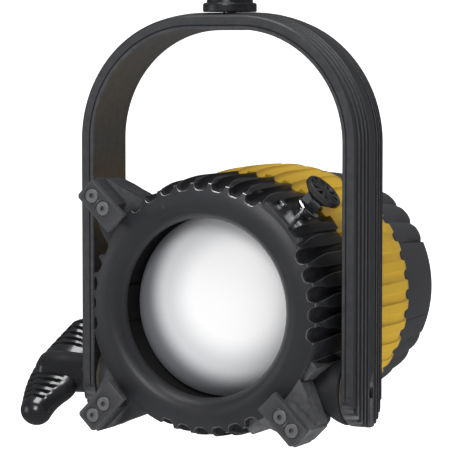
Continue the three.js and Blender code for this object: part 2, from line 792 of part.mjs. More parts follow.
part(lamp, "lens", lens(), "#f2f3f5", 0.35);
part(lamp, "lens_gasket", washer(52.6, 56.4, -4.7, -3.3), "#1c1c1d", 0.9);
part(lamp, "lens_barrel", lensBarrel(), "#151516", 0.6, 0.1);
[180, 60, 300].forEach((angle, i) => {
  part(lamp, `lens_clip_${i + 1}`, sector(55.9, 56.7, -29.5, -11, angle, 11), "#3c3d40", 0.4, 0.7);
});

// ---------------------------------------------------------------- module latch

function latchBody() {
  const neck = rod(5.4, 70, 79.3, 20);
  const collar = rod(7.7, 78.3, 79.9, 20);
  const hexagon = rod(7, 79.3, 87.9, 6);
  const bore = turned(
    [[0, 68.3], [2.8, 68.3], [2.8, 73.3], [4.4, 73.3], [4.4, 86.7], [2.8, 86.7], [2.8, 90.3], [0, 90.3]],
    20,
  );
  return latchPlace(carve(neck, { add: [collar, hexagon], cut: [bore] }));
}

function latchPin() {
  const pin = rod(LATCH_PIN_RADIUS, 59.2, LATCH_FACE - 3 - GAP, 16);
  return latchPlace(carve(pin, { add: [rod(4, 76.7, 78.1, 16)] }));
}

/** The return spring: one wire wound round the pin. */
function latchSpring() {
  const turns = 5;
  const steps = 8;
  const coil = Array.from({ length: turns * steps + 1 }, (_, i) => {
    const angle = (2 * Math.PI * i) / steps;
    const height = 79.1 + (6.9 * i) / (turns * steps);
    return new THREE.Vector3(3.45 * Math.cos(angle), height, 3.45 * Math.sin(angle));
  });
  const wire = new THREE.Shape(
    Array.from({ length: 4 }, (_, i) => {
      const angle = (2 * Math.PI * i) / 4;
      return new THREE.Vector2(0.45 * Math.cos(angle), 0.45 * Math.sin(angle));
    }),
  );
  const path = new THREE.CatmullRomCurve3(coil);
  const options = { steps: turns * steps, bevelEnabled: false, extrudePath: path };
  return latchPlace(new THREE.ExtrudeGeometry(wire, options));
}

function latchKnob() {
  const face = LATCH_FACE;
  const rim = LATCH_KNOB_RADIUS;
  const outline = [
    [0, face - 3],
    [2.8, face - 3],
    [2.8, face - 7.1],
    [7.2, face - 7.1],
    [8.4, face - 5.8],
    [rim - 0.4, face - 3.6],
    [rim, face - 3],
    [rim, face - 0.8],
    [rim - 0.7, face],
    [rim - 2, face],
    [rim - 2.4, face - 1.2],
    [0, face - 1.2],
  ];
  const ribs = [0, 45, 90, 135].map((angle) =>
    block([-rim + 2, rim - 2], [face - 2, face - 0.3], [-0.8, 0.8]).rotateY(radians(angle)),
  );
  return latchPlace(carve(turned(outline, 24), { add: ribs }));
}

part(lamp, "latch_body", latchBody(), "#c9ccd0", 0.15, 1);
part(lamp, "latch_pin", latchPin(), STEEL, 0.25, 1);
part(lamp, "latch_spring", latchSpring(), STEEL, 0.3, 1);
part(lamp, "latch_knob", latchKnob(), "#1b1b1c", 0.4);

// ---------------------------------------------------------------- focusing carriage and cam

function carriage() {
  const y = CARRIAGE_REST_Y;
  const ring = turnedRing(
    [
      [28.5, y],
      [CARRIAGE_RADIUS, y],
      [CARRIAGE_RADIUS, y + CARRIAGE_THICKNESS],
      [33, y + CARRIAGE_THICKNESS],
      [33, y + 3],
      [28.5, y + 3],
    ],
    40,
  );
  const cut = ROD_ANGLES.map((angle) =>
    rod(4.3, y - 1, y + 11, 16).translate(...polar(angle, ROD_CIRCLE, 0).toArray()),
  );
  cut.push(radial(rod(CAM_PIN_RADIUS + GAP, 52, 64, 16), CAM_ANGLE, y + CARRIAGE_THICKNESS / 2));
  return carve(ring, { cut });
}

function focusLens() {
  const back = CARRIAGE_REST_Y + 3 + GAP;
  const dome = Array.from({ length: 5 }, (_, i) => {
    const angle = (Math.PI / 2) * (i / 4);
    return [28 * Math.sin(angle), back - 1 - 7 * Math.cos(angle)];
  });
  return turned([...dome, [28, back], [32.6, back], [32.6, back + 3], [0, back + 3]], 24);
}

/** The cam slot: it climbs the carriage's travel while the sleeve turns. */
function camSlot() {
  const half = CAM_PIN_RADIUS + GAP;
  const rest = CARRIAGE_REST_Y + CARRIAGE_THICKNESS / 2;
  const spill = 3.2;
  const steps = 18;
  const section = [[59, -half], [69, -half], [69, half], [59, half]];
  const rings = Array.from({ length: steps + 1 }, (_, i) => {
    const turn = -spill + ((CAM_TURN + 2 * spill) * i) / steps;
    const y = rest + (CARRIAGE_TRAVEL * turn) / CAM_TURN;
    return section.map(([radius, rise]) => polar(CAM_ANGLE + turn, radius, y + rise));
  });
  return loft(rings, section.map(([radius, rise]) => new THREE.Vector2(radius, rise)));
}

function camSleeve() {
  const flange = WHEEL_FRONT_Y + 0.3;
  const outline = [
    [SLEEVE_BORE, 21],
    [SLEEVE_RADIUS, 21],
    [SLEEVE_RADIUS, flange],
    [71.8, flange],
    [71.8, flange + 3.3],
    [SLEEVE_BORE, flange + 3.3],
  ];
  return carve(turnedRing(outline, 32), { cut: [camSlot()] });
}

function wheelRing(tip, valley, y) {
  return Array.from({ length: WHEEL_PITCHES * 2 }, (_, i) => {
    const angle = (i * 180) / WHEEL_PITCHES;
    const fromSide = Math.min(angle % 180, 180 - (angle % 180));
    const pad = fromSide < WHEEL_PAD_HALF_ANGLE;
    return polar(angle, pad || i % 2 ? tip : valley, y);
  });
}

function focusWheel() {
  const back = WHEEL_END_Y;
  const rings = [
    wheelRing(72.4, 72.4, WHEEL_FRONT_Y),
    wheelRing(77, 76.2, WHEEL_FRONT_Y),
    wheelRing(76.2, 74.6, 120),
    wheelRing(73.6, 71.2, 144),
    wheelRing(71.6, 69.2, 152),
    wheelRing(69.4, 67.4, back),
    wheelRing(63, 63, back),
    wheelRing(63, 63, back - 5.5),
    wheelRing(66.5, 66.5, back - 5.5),
    wheelRing(66.5, 66.5, 104),
    wheelRing(62, 62, 104),
    wheelRing(62, 62, 100),
    wheelRing(72.4, 72.4, 100),
  ];
  return loft(rings);
}

ROD_ANGLES.forEach((angle, i) => {
  const mesh = part(lamp, `guide_rod_${i + 1}`, rod(4, 11.3, HEAT_SINK_FRONT_Y - 0.3, 16), STEEL, 0.2, 1);
  mesh.position.copy(polar(angle, ROD_CIRCLE, 0));
});
part(lamp, "focus_carriage", carriage(), "#202122", 0.5, 0.3);
part(lamp, "focus_lens", focusLens(), "#dfe9ee", 0.1);
const ringFront = CARRIAGE_REST_Y + 3 + 2 * GAP + 3;
part(lamp, "focus_lens_ring", washer(28, 32.7, ringFront, ringFront + 2.5), ALUMINIUM, 0.4, 0.9);
const camPinY = CARRIAGE_REST_Y + CARRIAGE_THICKNESS / 2;
part(lamp, "cam_pin", radial(rod(CAM_PIN_RADIUS, 53, 66.5, 16), CAM_ANGLE, camPinY), STEEL, 0.25, 1);
part(lamp, "cam_sleeve", camSleeve(), ALUMINIUM, 0.4, 0.9);
part(lamp, "focus_wheel", focusWheel(), SATIN_BLACK, 0.5, 0.1);

// ---------------------------------------------------------------- light engine and rear

function heatSink() {
  const front = HEAT_SINK_FRONT_Y;
  const disc = rod(HEAT_SINK_RADIUS, front, front + 6, 40);
  const core = rod(24, front + 5, 134, 24);
  const journal = turnedRing([[50, 99], [61.5, 99], [61.5, 104.2], [50, 104.2]], 36);
  const fins = Array.from({ length: 5 }, (_, i) => {
    const angle = radians(i * 36 + 18);
    return [
      block([-60, 60], [front + 5, 100], [-1.4, 1.4]).rotateY(angle),
      block([-50.5, 50.5], [99, 134], [-1.4, 1.4]).rotateY(angle),
    ];
  }).flat();
  const posts = COVER_POST_ANGLES.map((angle) =>
    rod(2.1, 122, 135, 12).translate(...polar(angle, COVER_POST_CIRCLE, 0).toArray()),
  );
  return carve(disc, { add: [core, journal, ...fins], cut: posts });
}

function driverBoard() {
  const board = rod(46, 139, 140.6, 32);
  const blocks = [
    block([-30, -12], [134.8, 139.5], [26, 36]),
    block([14, 34], [140, 148], [-14, 8]),
    block([-38, -26], [140, 147], [-12, 12]),
  ];
  const cut = COVER_POST_ANGLES.map((angle) =>
    rod(4.4, 130, 150, 16).translate(...polar(angle, COVER_POST_CIRCLE, 0).toArray()),
  );
  cut.push(rod(11, 138, 142, 20).translate(0, 0, INLET_Z));
  return carve(board, { add: blocks, cut });
}

function rearCover() {
  const disc = turned(
    [
      [0, COVER_BACK_Y - 4.6],
      [62.4, COVER_BACK_Y - 4.6],
      [62.4, COVER_BACK_Y - 1],
      [61, COVER_BACK_Y],
      [0, COVER_BACK_Y],
    ],
    40,
  );
  const posts = COVER_POST_ANGLES.map((angle) =>
    rod(4, 134.3, COVER_BACK_Y - 3, 16).translate(...polar(angle, COVER_POST_CIRCLE, 0).toArray()),
  );
  const holes = COVER_POST_ANGLES.map((angle) =>
    rod(2.1, 130, 160, 12).translate(...polar(angle, COVER_POST_CIRCLE, 0).toArray()),
  );
  const slots = Array.from({ length: 12 }, (_, i) => i * 30)
    .filter((angle) => Math.abs(angle - 270) > 28)
    .map((angle) => toAngle(block([34, 55], [145, 160], [-2, 2]), angle));
  const inletHole = rod(10.3, 145, 160, 24).translate(0, 0, INLET_Z);
  return carve(disc, { add: posts, cut: [...holes, ...slots, inletHole] });
}

function coverScrew() {
  const front = COVER_BACK_Y + GAP;
  const end = front + 2.6;
  const head = turned([[0, front], [3.9, front], [3.9, front + 1.4], [2.6, end], [0, end]], 16);
  return carve(head, { add: [rod(1.8, 124, front + 1, 12)], cut: [rod(1.4, front + 1, front + 4, 6)] });
}

function powerInlet() {
  const face = COVER_BACK_Y + GAP;
  const outline = [
    [0, 143],
    [10, 143],
    [10, face],
    [13, face],
    [13, face + 2],
    [12.4, face + 2.6],
    [7.5, face + 2.6],
    [7.5, face - 8],
    [0, face - 8],
  ];
  const key = block([-1.2, 1.2], [face - 9, face], [5.8, 8]);
  const pins = [[-2.6, 2], [2.6, 2], [-2.6, -3], [2.6, -3]].map(([x, z]) =>
    rod(0.9, face - 9, face - 2, 8).translate(x, 0, z),
  );
  return carve(turned(outline, 28), { add: [key, ...pins] }).translate(0, 0, INLET_Z);
}

part(lamp, "led_board", rod(30, 61, 62.8, 32), "#d9dcd8", 0.5);
const emitter = turned([[0, 57.4], [8, 57.9], [12, 59.4], [14, 59.4], [14, 60.7], [0, 60.7]], 24);
part(lamp, "led_emitter", emitter, "#e8d77a", 0.3);
part(lamp, "heat_sink", heatSink(), "#303235", 0.5, 0.8);
part(lamp, "wheel_retainer", washer(52, 65.8, 104.5, 107), ALUMINIUM, 0.4, 0.9);
part(lamp, "driver_board", driverBoard(), "#2d5a38", 0.6);
part(lamp, "rear_cover", rearCover(), BLACK, 0.5, 0.1);
COVER_POST_ANGLES.forEach((angle, i) => {
  const mesh = part(lamp, `cover_screw_${i + 1}`, coverScrew(), SCREW_GREY, 0.4, 0.9);
  mesh.position.copy(polar(angle, COVER_POST_CIRCLE, 0));
});
part(lamp, "power_inlet", powerInlet(), "#1a1a1b", 0.4, 0.2);

export default light;
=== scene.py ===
"""Looks of the studio spotlight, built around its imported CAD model.

Shapes are drawn in millimetres about the tilt axis or the lamp's optical axis and turned into
metres in the CAD's own frame. Angles round the optical axis are in degrees from +X towards +Z.
"""

import json
import math

import bmesh
import bpy
from mathutils import Matrix, Vector


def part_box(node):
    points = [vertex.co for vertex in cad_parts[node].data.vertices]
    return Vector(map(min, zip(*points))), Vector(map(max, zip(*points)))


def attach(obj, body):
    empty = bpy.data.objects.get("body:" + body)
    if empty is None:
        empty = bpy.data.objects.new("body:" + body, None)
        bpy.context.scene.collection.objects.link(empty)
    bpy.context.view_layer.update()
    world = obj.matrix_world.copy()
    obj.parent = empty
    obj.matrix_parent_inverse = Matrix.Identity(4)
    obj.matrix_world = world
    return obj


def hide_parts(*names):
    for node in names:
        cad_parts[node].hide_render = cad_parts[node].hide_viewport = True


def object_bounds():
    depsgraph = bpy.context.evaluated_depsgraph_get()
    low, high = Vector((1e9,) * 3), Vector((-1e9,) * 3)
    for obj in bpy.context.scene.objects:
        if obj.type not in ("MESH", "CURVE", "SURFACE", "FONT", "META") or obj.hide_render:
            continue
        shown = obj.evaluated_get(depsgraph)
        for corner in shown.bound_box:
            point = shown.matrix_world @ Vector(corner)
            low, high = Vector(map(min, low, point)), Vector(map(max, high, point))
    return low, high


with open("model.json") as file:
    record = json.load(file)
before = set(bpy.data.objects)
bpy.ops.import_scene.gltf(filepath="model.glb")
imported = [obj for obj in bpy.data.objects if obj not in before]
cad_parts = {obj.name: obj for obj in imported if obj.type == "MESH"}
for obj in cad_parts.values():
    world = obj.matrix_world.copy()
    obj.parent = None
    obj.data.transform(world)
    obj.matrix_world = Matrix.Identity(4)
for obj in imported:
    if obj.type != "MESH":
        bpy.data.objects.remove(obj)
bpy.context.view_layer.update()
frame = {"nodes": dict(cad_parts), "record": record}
MM = 0.001


def centre(node):
    low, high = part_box(node)
    return (low + high) / 2


def half_size(node):
    low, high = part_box(node)
    return (high - low) / 2 / MM


# ------------------------------------------------------------------ where things are

TILT = Vector((0, centre("tilt_stud").y, centre("tilt_stud").z))
AXIS = Vector((0, TILT.y, centre("rear_cover").z))
AXIS_HEIGHT = (AXIS.z - TILT.z) / MM

YOKE_DEPTH = 2 * half_size("yoke_bow").y
YOKE_CROWN = 2.1
YOKE_OUTER_X = half_size("yoke_bow").x
YOKE_HALF_WIDTH = YOKE_OUTER_X - YOKE_CROWN
YOKE_THICKNESS = 8.5
YOKE_TOP = (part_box("yoke_bow")[1].z - TILT.z) / MM - YOKE_CROWN
YOKE_BEND_RADIUS = 76
GROOVES = (5.85, 10.05, 14.25, 18.45)

CORNERS = {"upper_right": 45, "upper_left": 135, "lower_left": 225, "lower_right": 315}
CLIPPED = ("upper_left", "lower_left", "lower_right")
CLIP_SCREW_RADII = (83.6, 94.2)
LUG_HALF_WIDTH = 7.8
LUG_TIP = 101.5
CORNER_FLAT = 74.6
FLUTE_PITCH = 9
BEZEL_BACK_Y = -33.3
BEZEL_TIP = 75.6
BEZEL_BITE = 4.2
NOTCH_REACH = 3.6
SMOOTH_SECTORS = ((31.5, 58.5), (130.5, 148.5), (193.5, 247.5), (301.5, 346.5))
FRONT_END_Y = 18
MID_START_Y = 18.4
MID_END_Y = 95
WHEEL_START_Y = 96
WHEEL_PITCH = 12
PAD_HALF_ANGLE = 24
LATCH_Y = 0
LATCH_OFFSET = 5
LATCH_FACE = 95.3
COVER_SCREW_ANGLES = (90, 210, 330)
COVER_SCREW_CIRCLE = 17
VENT_START = 35
VENT_END = 53
VENT_HALF_WIDTH = 1.5
INLET_Z = -38


# ------------------------------------------------------------------ mesh tools


def polar(degrees, radius, y):
    angle = math.radians(degrees)
    return Vector((radius * math.cos(angle), y, radius * math.sin(angle)))


def curve_through(points, steps):
    """Points on a smooth curve through the given 2-D points."""
    ends = [points[0], *points, points[-1]]
    made = []
    for i in range(1, len(ends) - 2):
        p0, p1, p2, p3 = (Vector(ends[j]) for j in range(i - 1, i + 3))
        for s in range(steps):
            t = s / steps
            made.append(
                0.5 * (2 * p1 + (p2 - p0) * t + (2 * p0 - 5 * p1 + 4 * p2 - p3) * t * t
                       + (3 * p1 - p0 - 3 * p2 + p3) * t ** 3)
            )
    return [*made, Vector(points[-1])]


def sampled(rows, steps):
    """More rows between the given ones, each number on a smooth curve; the last one is y."""
    columns = [curve_through([(row[i], row[-1]) for row in rows], steps) for i in range(len(rows[0]))]
    return [tuple(column[k][0] for column in columns) for k in range(len(columns[0]))]


def loft(rings, closed=False):
    """Skins rings of equally many points: into a closed loop of rings, or with a cap at each end."""
    count = len(rings[0])
    points = [Vector(p) for ring in rings for p in ring]
    faces = []
    for i in range(len(rings) if closed else len(rings) - 1):
        here, there = i * count, (i + 1) % len(rings) * count
        for j in range(count):
            k = (j + 1) % count
            faces.append((here + j, here + k, there + k, there + j))
    if not closed:
        faces.append(tuple(range(count)))
        faces.append(tuple(range(len(points) - count, len(points))))
    return points, faces


def turned(profile, count=64, closed=False):
    """A body of revolution about Y from (radius, y) pairs; on the axis it ends in a tiny cap."""
    rings = []
    for radius, y in profile:
        rings.append([polar(360 * j / count, max(radius, 0.01), y) for j in range(count)])
    return loft(rings, closed)


def prism(outline, low, high, axis="y"):
    """A flat outline given thickness: (x, z) pairs along y, or (y, z) pairs along x."""
    if axis == "y":
        rings = [[Vector((a, y, b)) for a, b in outline] for y in (low, high)]
    else:
        rings = [[Vector((x, a, b)) for a, b in outline] for x in (low, high)]
    return loft(rings)


def box(x, y, z):
    return prism([(x[0], z[0]), (x[1], z[0]), (x[1], z[1]), (x[0], z[1])], *y)


def moved(shape, matrix):
    points, faces = shape
    return [matrix @ p for p in points], faces


def turned_to(shape, degrees):
    """Turns what is drawn along +X about the optical axis to an angle."""
    return moved(shape, Matrix.Rotation(-math.radians(degrees), 4, "Y"))


ALONG_X = Matrix.Rotation(-math.pi / 2, 4, "Z")
ALONG_Z = Matrix.Rotation(math.pi / 2, 4, "X")


def latch_place(shape):
    """Stands what is drawn along Y on the latch's axis, beside the upper right corner's diagonal."""
    beside = Matrix.Translation((0, LATCH_Y, LATCH_OFFSET)) @ ALONG_X
    return turned_to(moved(shape, beside), CORNERS["upper_right"])


def rod(radius, low, high, count=32):
    return turned([(radius, low), (radius, high)], count)


def joined(*shapes):
    points, faces = [], []
    for more_points, more_faces in shapes:
        start = len(points)
        points += more_points
        faces += [tuple(start + i for i in face) for face in more_faces]
    return points, faces


def raw_object(name, shape, origin):
    mesh = bpy.data.meshes.new(name)
    points, faces = shape
    mesh.from_pydata([origin + Vector(p) * MM for p in points], [], faces)
    bm = bmesh.new()
    bm.from_mesh(mesh)
    bmesh.ops.remove_doubles(bm, verts=bm.verts, dist=1e-7)
    bmesh.ops.recalc_face_normals(bm, faces=bm.faces)
    bm.to_mesh(mesh)
    bm.free()
    made = bpy.data.objects.new(name, mesh)
    bpy.context.scene.collection.objects.link(made)
    return made


def applied(piece):
    """Bakes a piece's modifiers into its mesh."""
    graph = bpy.context.evaluated_depsgraph_get()
    mesh = bpy.data.meshes.new_from_object(piece.evaluated_get(graph))
    piece.modifiers.clear()
    piece.data = mesh


def boolean(piece, shapes, origin, operation="DIFFERENCE"):
    for shape in shapes:
        tool = raw_object("tool", shape, origin)
        modifier = piece.modifiers.new("boolean", "BOOLEAN")
        modifier.operation = operation
        modifier.solver = "EXACT"
        modifier.object = tool
        bpy.context.view_layer.update()
        applied(piece)
        bpy.data.objects.remove(tool)


def piece(name, shape, origin, material, body, stands_for=(), slot=None, smooth=35, bevel=0.0,
          segments=3, cut=(), keep=(), add=()):
    """One finished piece: cut and joined, shaded, bevelled, and riding on its body."""
    made = raw_object(name, shape, origin)
    boolean(made, add, origin, "UNION")
    boolean(made, keep, origin, "INTERSECT")
    boolean(made, cut, origin)
    made.data.materials.clear()
    made.data.materials.append(material)
    made.data.shade_smooth()
    if bevel:
        modifier = made.modifiers.new("bevel", "BEVEL")
        modifier.width = bevel * MM
        modifier.segments = segments
        modifier.limit_method = "ANGLE"
        modifier.angle_limit = math.radians(smooth)
        modifier.harden_normals = True
    else:
        made.data.set_sharp_from_angle(angle=math.radians(smooth))
    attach(made, body)
    if stands_for:
        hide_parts(*stands_for)
    return made


# ------------------------------------------------------------------ materials


def new_material(name):
    material = bpy.data.materials.new(name)
    material.use_nodes = True
    nodes = material.node_tree.nodes
    return material, nodes, material.node_tree.links, nodes["Principled BSDF"]


def add_node(nodes, kind, **values):
    made = nodes.new(kind)
    for key, value in values.items():
        if key in made.inputs:
            made.inputs[key].default_value = value
        else:
            setattr(made, key, value)
    return made


def with_worn_edges(nodes, links, mapping, colour, wear, wear_amount):
    """Mixes a paler colour in along convex edges, broken up by fine noise."""
    edges = add_node(nodes, "ShaderNodeNewGeometry")
    worn = nodes.new("ShaderNodeValToRGB")
    worn.color_ramp.elements[0].position = 0.52
    worn.color_ramp.elements[1].position = 0.62
    links.new(edges.outputs["Pointiness"], worn.inputs["Fac"])
    scuffs = add_node(nodes, "ShaderNodeTexNoise", Scale=260.0, Detail=4.0)
    links.new(mapping.outputs["Vector"], scuffs.inputs["Vector"])
    broken = add_node(nodes, "ShaderNodeMath", operation="MULTIPLY")
    links.new(worn.outputs["Color"], broken.inputs[0])
    links.new(scuffs.outputs["Fac"], broken.inputs[1])
    amount = add_node(nodes, "ShaderNodeMath", operation="MULTIPLY")
    amount.inputs[1].default_value = wear_amount * 2
    amount.use_clamp = True
    links.new(broken.outputs[0], amount.inputs[0])
    mix = add_node(nodes, "ShaderNodeMix", data_type="RGBA")
    mix.inputs["B"].default_value = (*wear, 1)
    links.new(amount.outputs[0], mix.inputs["Factor"])
    links.new(colour, mix.inputs["A"])
    return mix.outputs["Result"]


def surface(name, colour, roughness, metallic=0.0, variation=0.12, patch=22.0, grain=900.0,
            grain_depth=0.00003, spread=0.06, wear=None, wear_amount=0.55, coat=0.0, ior=1.5,
            stretch=(1, 1, 1)):
    """A finish with uneven colour and gloss, a fine surface grain, and paler worn edges if asked."""
    material, nodes, links, shader = new_material(name)
    shader.inputs["Metallic"].default_value = metallic
    shader.inputs["IOR"].default_value = ior
    shader.inputs["Coat Weight"].default_value = coat
    shader.inputs["Coat Roughness"].default_value = 0.12
    place = add_node(nodes, "ShaderNodeTexCoord")
    mapping = add_node(nodes, "ShaderNodeMapping", Scale=stretch)
    links.new(place.outputs["Object"], mapping.inputs["Vector"])
    patches = add_node(nodes, "ShaderNodeTexNoise", Scale=patch, Detail=5.0, Roughness=0.6)
    links.new(mapping.outputs["Vector"], patches.inputs["Vector"])
    tones = nodes.new("ShaderNodeValToRGB")
    tones.color_ramp.elements[0].position = 0.3
    tones.color_ramp.elements[1].position = 0.7
    tones.color_ramp.elements[0].color = (*[c * (1 - variation) for c in colour], 1)
    tones.color_ramp.elements[1].color = (*[min(1, c * (1 + variation)) for c in colour], 1)
    links.new(patches.outputs["Fac"], tones.inputs["Fac"])
    final_colour = tones.outputs["Color"]
    if wear:
        final_colour = with_worn_edges(nodes, links, mapping, final_colour, wear, wear_amount)
    links.new(final_colour, shader.inputs["Base Color"])
    smudges = add_node(nodes, "ShaderNodeTexNoise", Scale=patch * 4, Detail=6.0, Roughness=0.65)
    links.new(mapping.outputs["Vector"], smudges.inputs["Vector"])
    gloss = add_node(nodes, "ShaderNodeMapRange")
    gloss.inputs["To Min"].default_value = max(0.02, roughness - spread)
    gloss.inputs["To Max"].default_value = roughness + spread
    links.new(smudges.outputs["Fac"], gloss.inputs["Value"])
    links.new(gloss.outputs["Result"], shader.inputs["Roughness"])
    fine = add_node(nodes, "ShaderNodeTexNoise", Scale=grain, Detail=3.0, Roughness=0.55)
    links.new(mapping.outputs["Vector"], fine.inputs["Vector"])
    bump = add_node(nodes, "ShaderNodeBump", Strength=0.5, Distance=grain_depth)
    links.new(fine.outputs["Fac"], bump.inputs["Height"])
    links.new(bump.outputs["Normal"], shader.inputs["Normal"])
    return material


def frosted_glass():
    """The lens: white and matt with a soft gloss, with a painted highlight above right of its middle and
    painted shade towards a greyer rim, also fed into a faint painted glow.
    """
    material, nodes, links, shader = new_material("Lens_Painted_Shading")
    place = add_node(nodes, "ShaderNodeTexCoord")
    mapping = add_node(nodes, "ShaderNodeMapping", vector_type="TEXTURE")
    # Centre of the painted highlight; the ramp below darkens away from it into painted shade at the rim.
    middle = AXIS + Vector((16, -20, 8)) * MM
    mapping.inputs["Location"].default_value = middle
    mapping.inputs["Scale"].default_value = (0.07, 0.07, 0.07)
    links.new(place.outputs["Object"], mapping.inputs["Vector"])
    painted_shading = add_node(nodes, "ShaderNodeTexGradient", gradient_type="SPHERICAL")
    links.new(mapping.outputs["Vector"], painted_shading.inputs["Vector"])
    tones = nodes.new("ShaderNodeValToRGB")
    ramp = tones.color_ramp
    ramp.interpolation = "EASE"
    ramp.elements[0].position = 0.14
    ramp.elements[0].color = (0.14, 0.143, 0.155, 1)
    ramp.elements[1].position = 0.62
    ramp.elements[1].color = (0.75, 0.75, 0.755, 1)
    mid = ramp.elements.new(0.36)
    mid.color = (0.52, 0.525, 0.54, 1)
    links.new(painted_shading.outputs["Fac"], tones.inputs["Fac"])
    links.new(tones.outputs["Color"], shader.inputs["Base Color"])
    # The painted highlight and shade also go into a faint painted glow.
    links.new(tones.outputs["Color"], shader.inputs["Emission Color"])
    shader.inputs["Emission Strength"].default_value = 0.22
    frost = add_node(nodes, "ShaderNodeTexNoise", Scale=1500.0, Detail=2.0)
    links.new(place.outputs["Object"], frost.inputs["Vector"])
    rough = add_node(nodes, "ShaderNodeMapRange")
    rough.inputs["To Min"].default_value = 0.42
    rough.inputs["To Max"].default_value = 0.56
    links.new(frost.outputs["Fac"], rough.inputs["Value"])
    links.new(rough.outputs["Result"], shader.inputs["Roughness"])
    bump = add_node(nodes, "ShaderNodeBump", Strength=0.25, Distance=0.00002)
    links.new(frost.outputs["Fac"], bump.inputs["Height"])
    links.new(bump.outputs["Normal"], shader.inputs["Normal"])
    return material


def clear_glass():
    material = surface("Clear_Glass", (0.85, 0.9, 0.92), 0.05, variation=0.02, spread=0.02,
                       grain_depth=0.000004)
    shader = material.node_tree.nodes["Principled BSDF"]
    shader.inputs["Transmission Weight"].default_value = 0.85
    return material


SATIN = surface("Satin_Black", (0.027, 0.0278, 0.032), 0.42, variation=0.1, grain=1100.0,
                grain_depth=0.00004, wear=(0.16, 0.162, 0.17))
HOUSING = surface("Housing_Black", (0.013, 0.0136, 0.016), 0.32, variation=0.12, grain=1000.0,
                  grain_depth=0.00004, wear=(0.14, 0.142, 0.15), wear_amount=0.4)
YELLOW = surface("Yellow_Housing", (0.58, 0.355, 0.008), 0.4, variation=0.06, grain=800.0,
                 grain_depth=0.00004, spread=0.05)
WHEEL = surface("Wheel_Black", (0.042, 0.043, 0.048), 0.5, variation=0.08, grain=700.0,
                grain_depth=0.00006)
KNOB = surface("Knob_Black", (0.012, 0.012, 0.013), 0.36, grain=900.0, wear=(0.1, 0.1, 0.1))
LEVER = surface("Lever_Gloss", (0.014, 0.0145, 0.017), 0.24, variation=0.15, grain=600.0,
                grain_depth=0.00003, coat=0.6, spread=0.05)
INTERIOR = surface("Matt_Interior", (0.006, 0.006, 0.0065), 0.75, grain=600.0)
CLIP_PLATE = surface("Clip_Plate", (0.042, 0.043, 0.046), 0.4, variation=0.1,
                     wear=(0.2, 0.2, 0.21))
# A pale metallic colour for worn edges, which also stands in as a painted highlight on crests and scallops.
WORN_EDGE_AND_HIGHLIGHT = surface("Worn_Edge_And_Painted_Highlight", (0.3, 0.3, 0.315), 0.34, metallic=0.75, variation=0.3, patch=120.0)
SCREW_GREY = surface("Screw_Grey", (0.25, 0.252, 0.26), 0.42, metallic=0.65, patch=150.0)
CHROME = surface("Chrome", (0.8, 0.81, 0.83), 0.09, metallic=1.0, variation=0.04, spread=0.04,
                 patch=90.0, grain_depth=0.00001)
STEEL = surface("Bright_Steel", (0.5, 0.51, 0.53), 0.28, metallic=1.0, patch=80.0)
ALUMINIUM = surface("Bare_Aluminium", (0.58, 0.59, 0.6), 0.35, metallic=1.0,
                    stretch=(1, 30, 1), patch=15.0)
ANODISED = surface("Dark_Aluminium", (0.04, 0.04, 0.043), 0.4, metallic=0.6)
BRONZE = surface("Bearing_Bronze", (0.42, 0.27, 0.1), 0.35, metallic=1.0)
FIBRE = surface("Friction_Fibre", (0.075, 0.062, 0.05), 0.85, patch=160.0, variation=0.35)
RUBBER = surface("Seal_Rubber", (0.012, 0.012, 0.012), 0.8)
PHOSPHOR = surface("Phosphor", (0.75, 0.58, 0.12), 0.55)
BOARD_WHITE = surface("Board_White", (0.7, 0.72, 0.69), 0.4)
BOARD_GREEN = surface("Board_Green", (0.03, 0.12, 0.045), 0.4, patch=70.0, variation=0.3)
PAINTED_SHADING_LENS = frosted_glass()

BY_SLOT = {
    "satin_black": SATIN,
    "black_housing": HOUSING,
    "yellow_housing": YELLOW,
    "black_wheel": WHEEL,
    "black_knob": KNOB,
    "gloss_lever": LEVER,
    "matt_interior": INTERIOR,
    "dark_aluminium": ANODISED,
    "bare_aluminium": ALUMINIUM,
    "frosted_glass": PAINTED_SHADING_LENS,
    "clear_glass": clear_glass(),
    "phosphor": PHOSPHOR,
    "board_white": BOARD_WHITE,
    "board_green": BOARD_GREEN,
    "friction_fibre": FIBRE,
    "bearing_bronze": BRONZE,
    "seal_rubber": RUBBER,
    "chromed_steel": CHROME,
    "grey_screws": SCREW_GREY,
    "bright_steel": STEEL,
}
for row in frame["record"]["subparts"]:
    mesh = frame["nodes"][row["node"]].data
    mesh.materials.clear()
    mesh.materials.append(BY_SLOT[row["material_slot"]])


# ------------------------------------------------------------------ yoke


def crown(y):
    return YOKE_CROWN * (1 - (y / (YOKE_DEPTH / 2)) ** 2)


def yoke_section():
    """The bar's section once round, as (y, distance outside the shoulder line)."""
    edge = YOKE_DEPTH / 2
    front = [
        (-edge + 0.6, -YOKE_THICKNESS),
        (-edge, -YOKE_THICKNESS + 0.6),
        (-edge, -6.3),
        (-edge + 0.65, -6.05),
        (-edge + 0.65, -5.65),
        (-edge, -5.4),
        (-edge, -1.0),
        (-edge + 0.3, -0.45),
        (-edge + 0.9, 0.05),
    ]
    outer = []
    centres = [-y for y in reversed(GROOVES)] + list(GROOVES)
    for y in centres:
        lip, floor = 1.2, 0.9
        outer += [
            (y - lip - 0.12, crown(y - lip)),
            (y - lip + 0.02, crown(y) - 0.14),
            (y - floor, crown(y) - 1.7),
            (y + floor, crown(y) - 1.7),
            (y + lip - 0.02, crown(y) - 0.14),
            (y + lip + 0.12, crown(y + lip)),
        ]
        if y == -GROOVES[0]:
            outer += [(s, crown(s)) for s in (-3, 0, 3)]
    rear = [(-y, offset) for y, offset in reversed(front)]
    return front + outer + rear


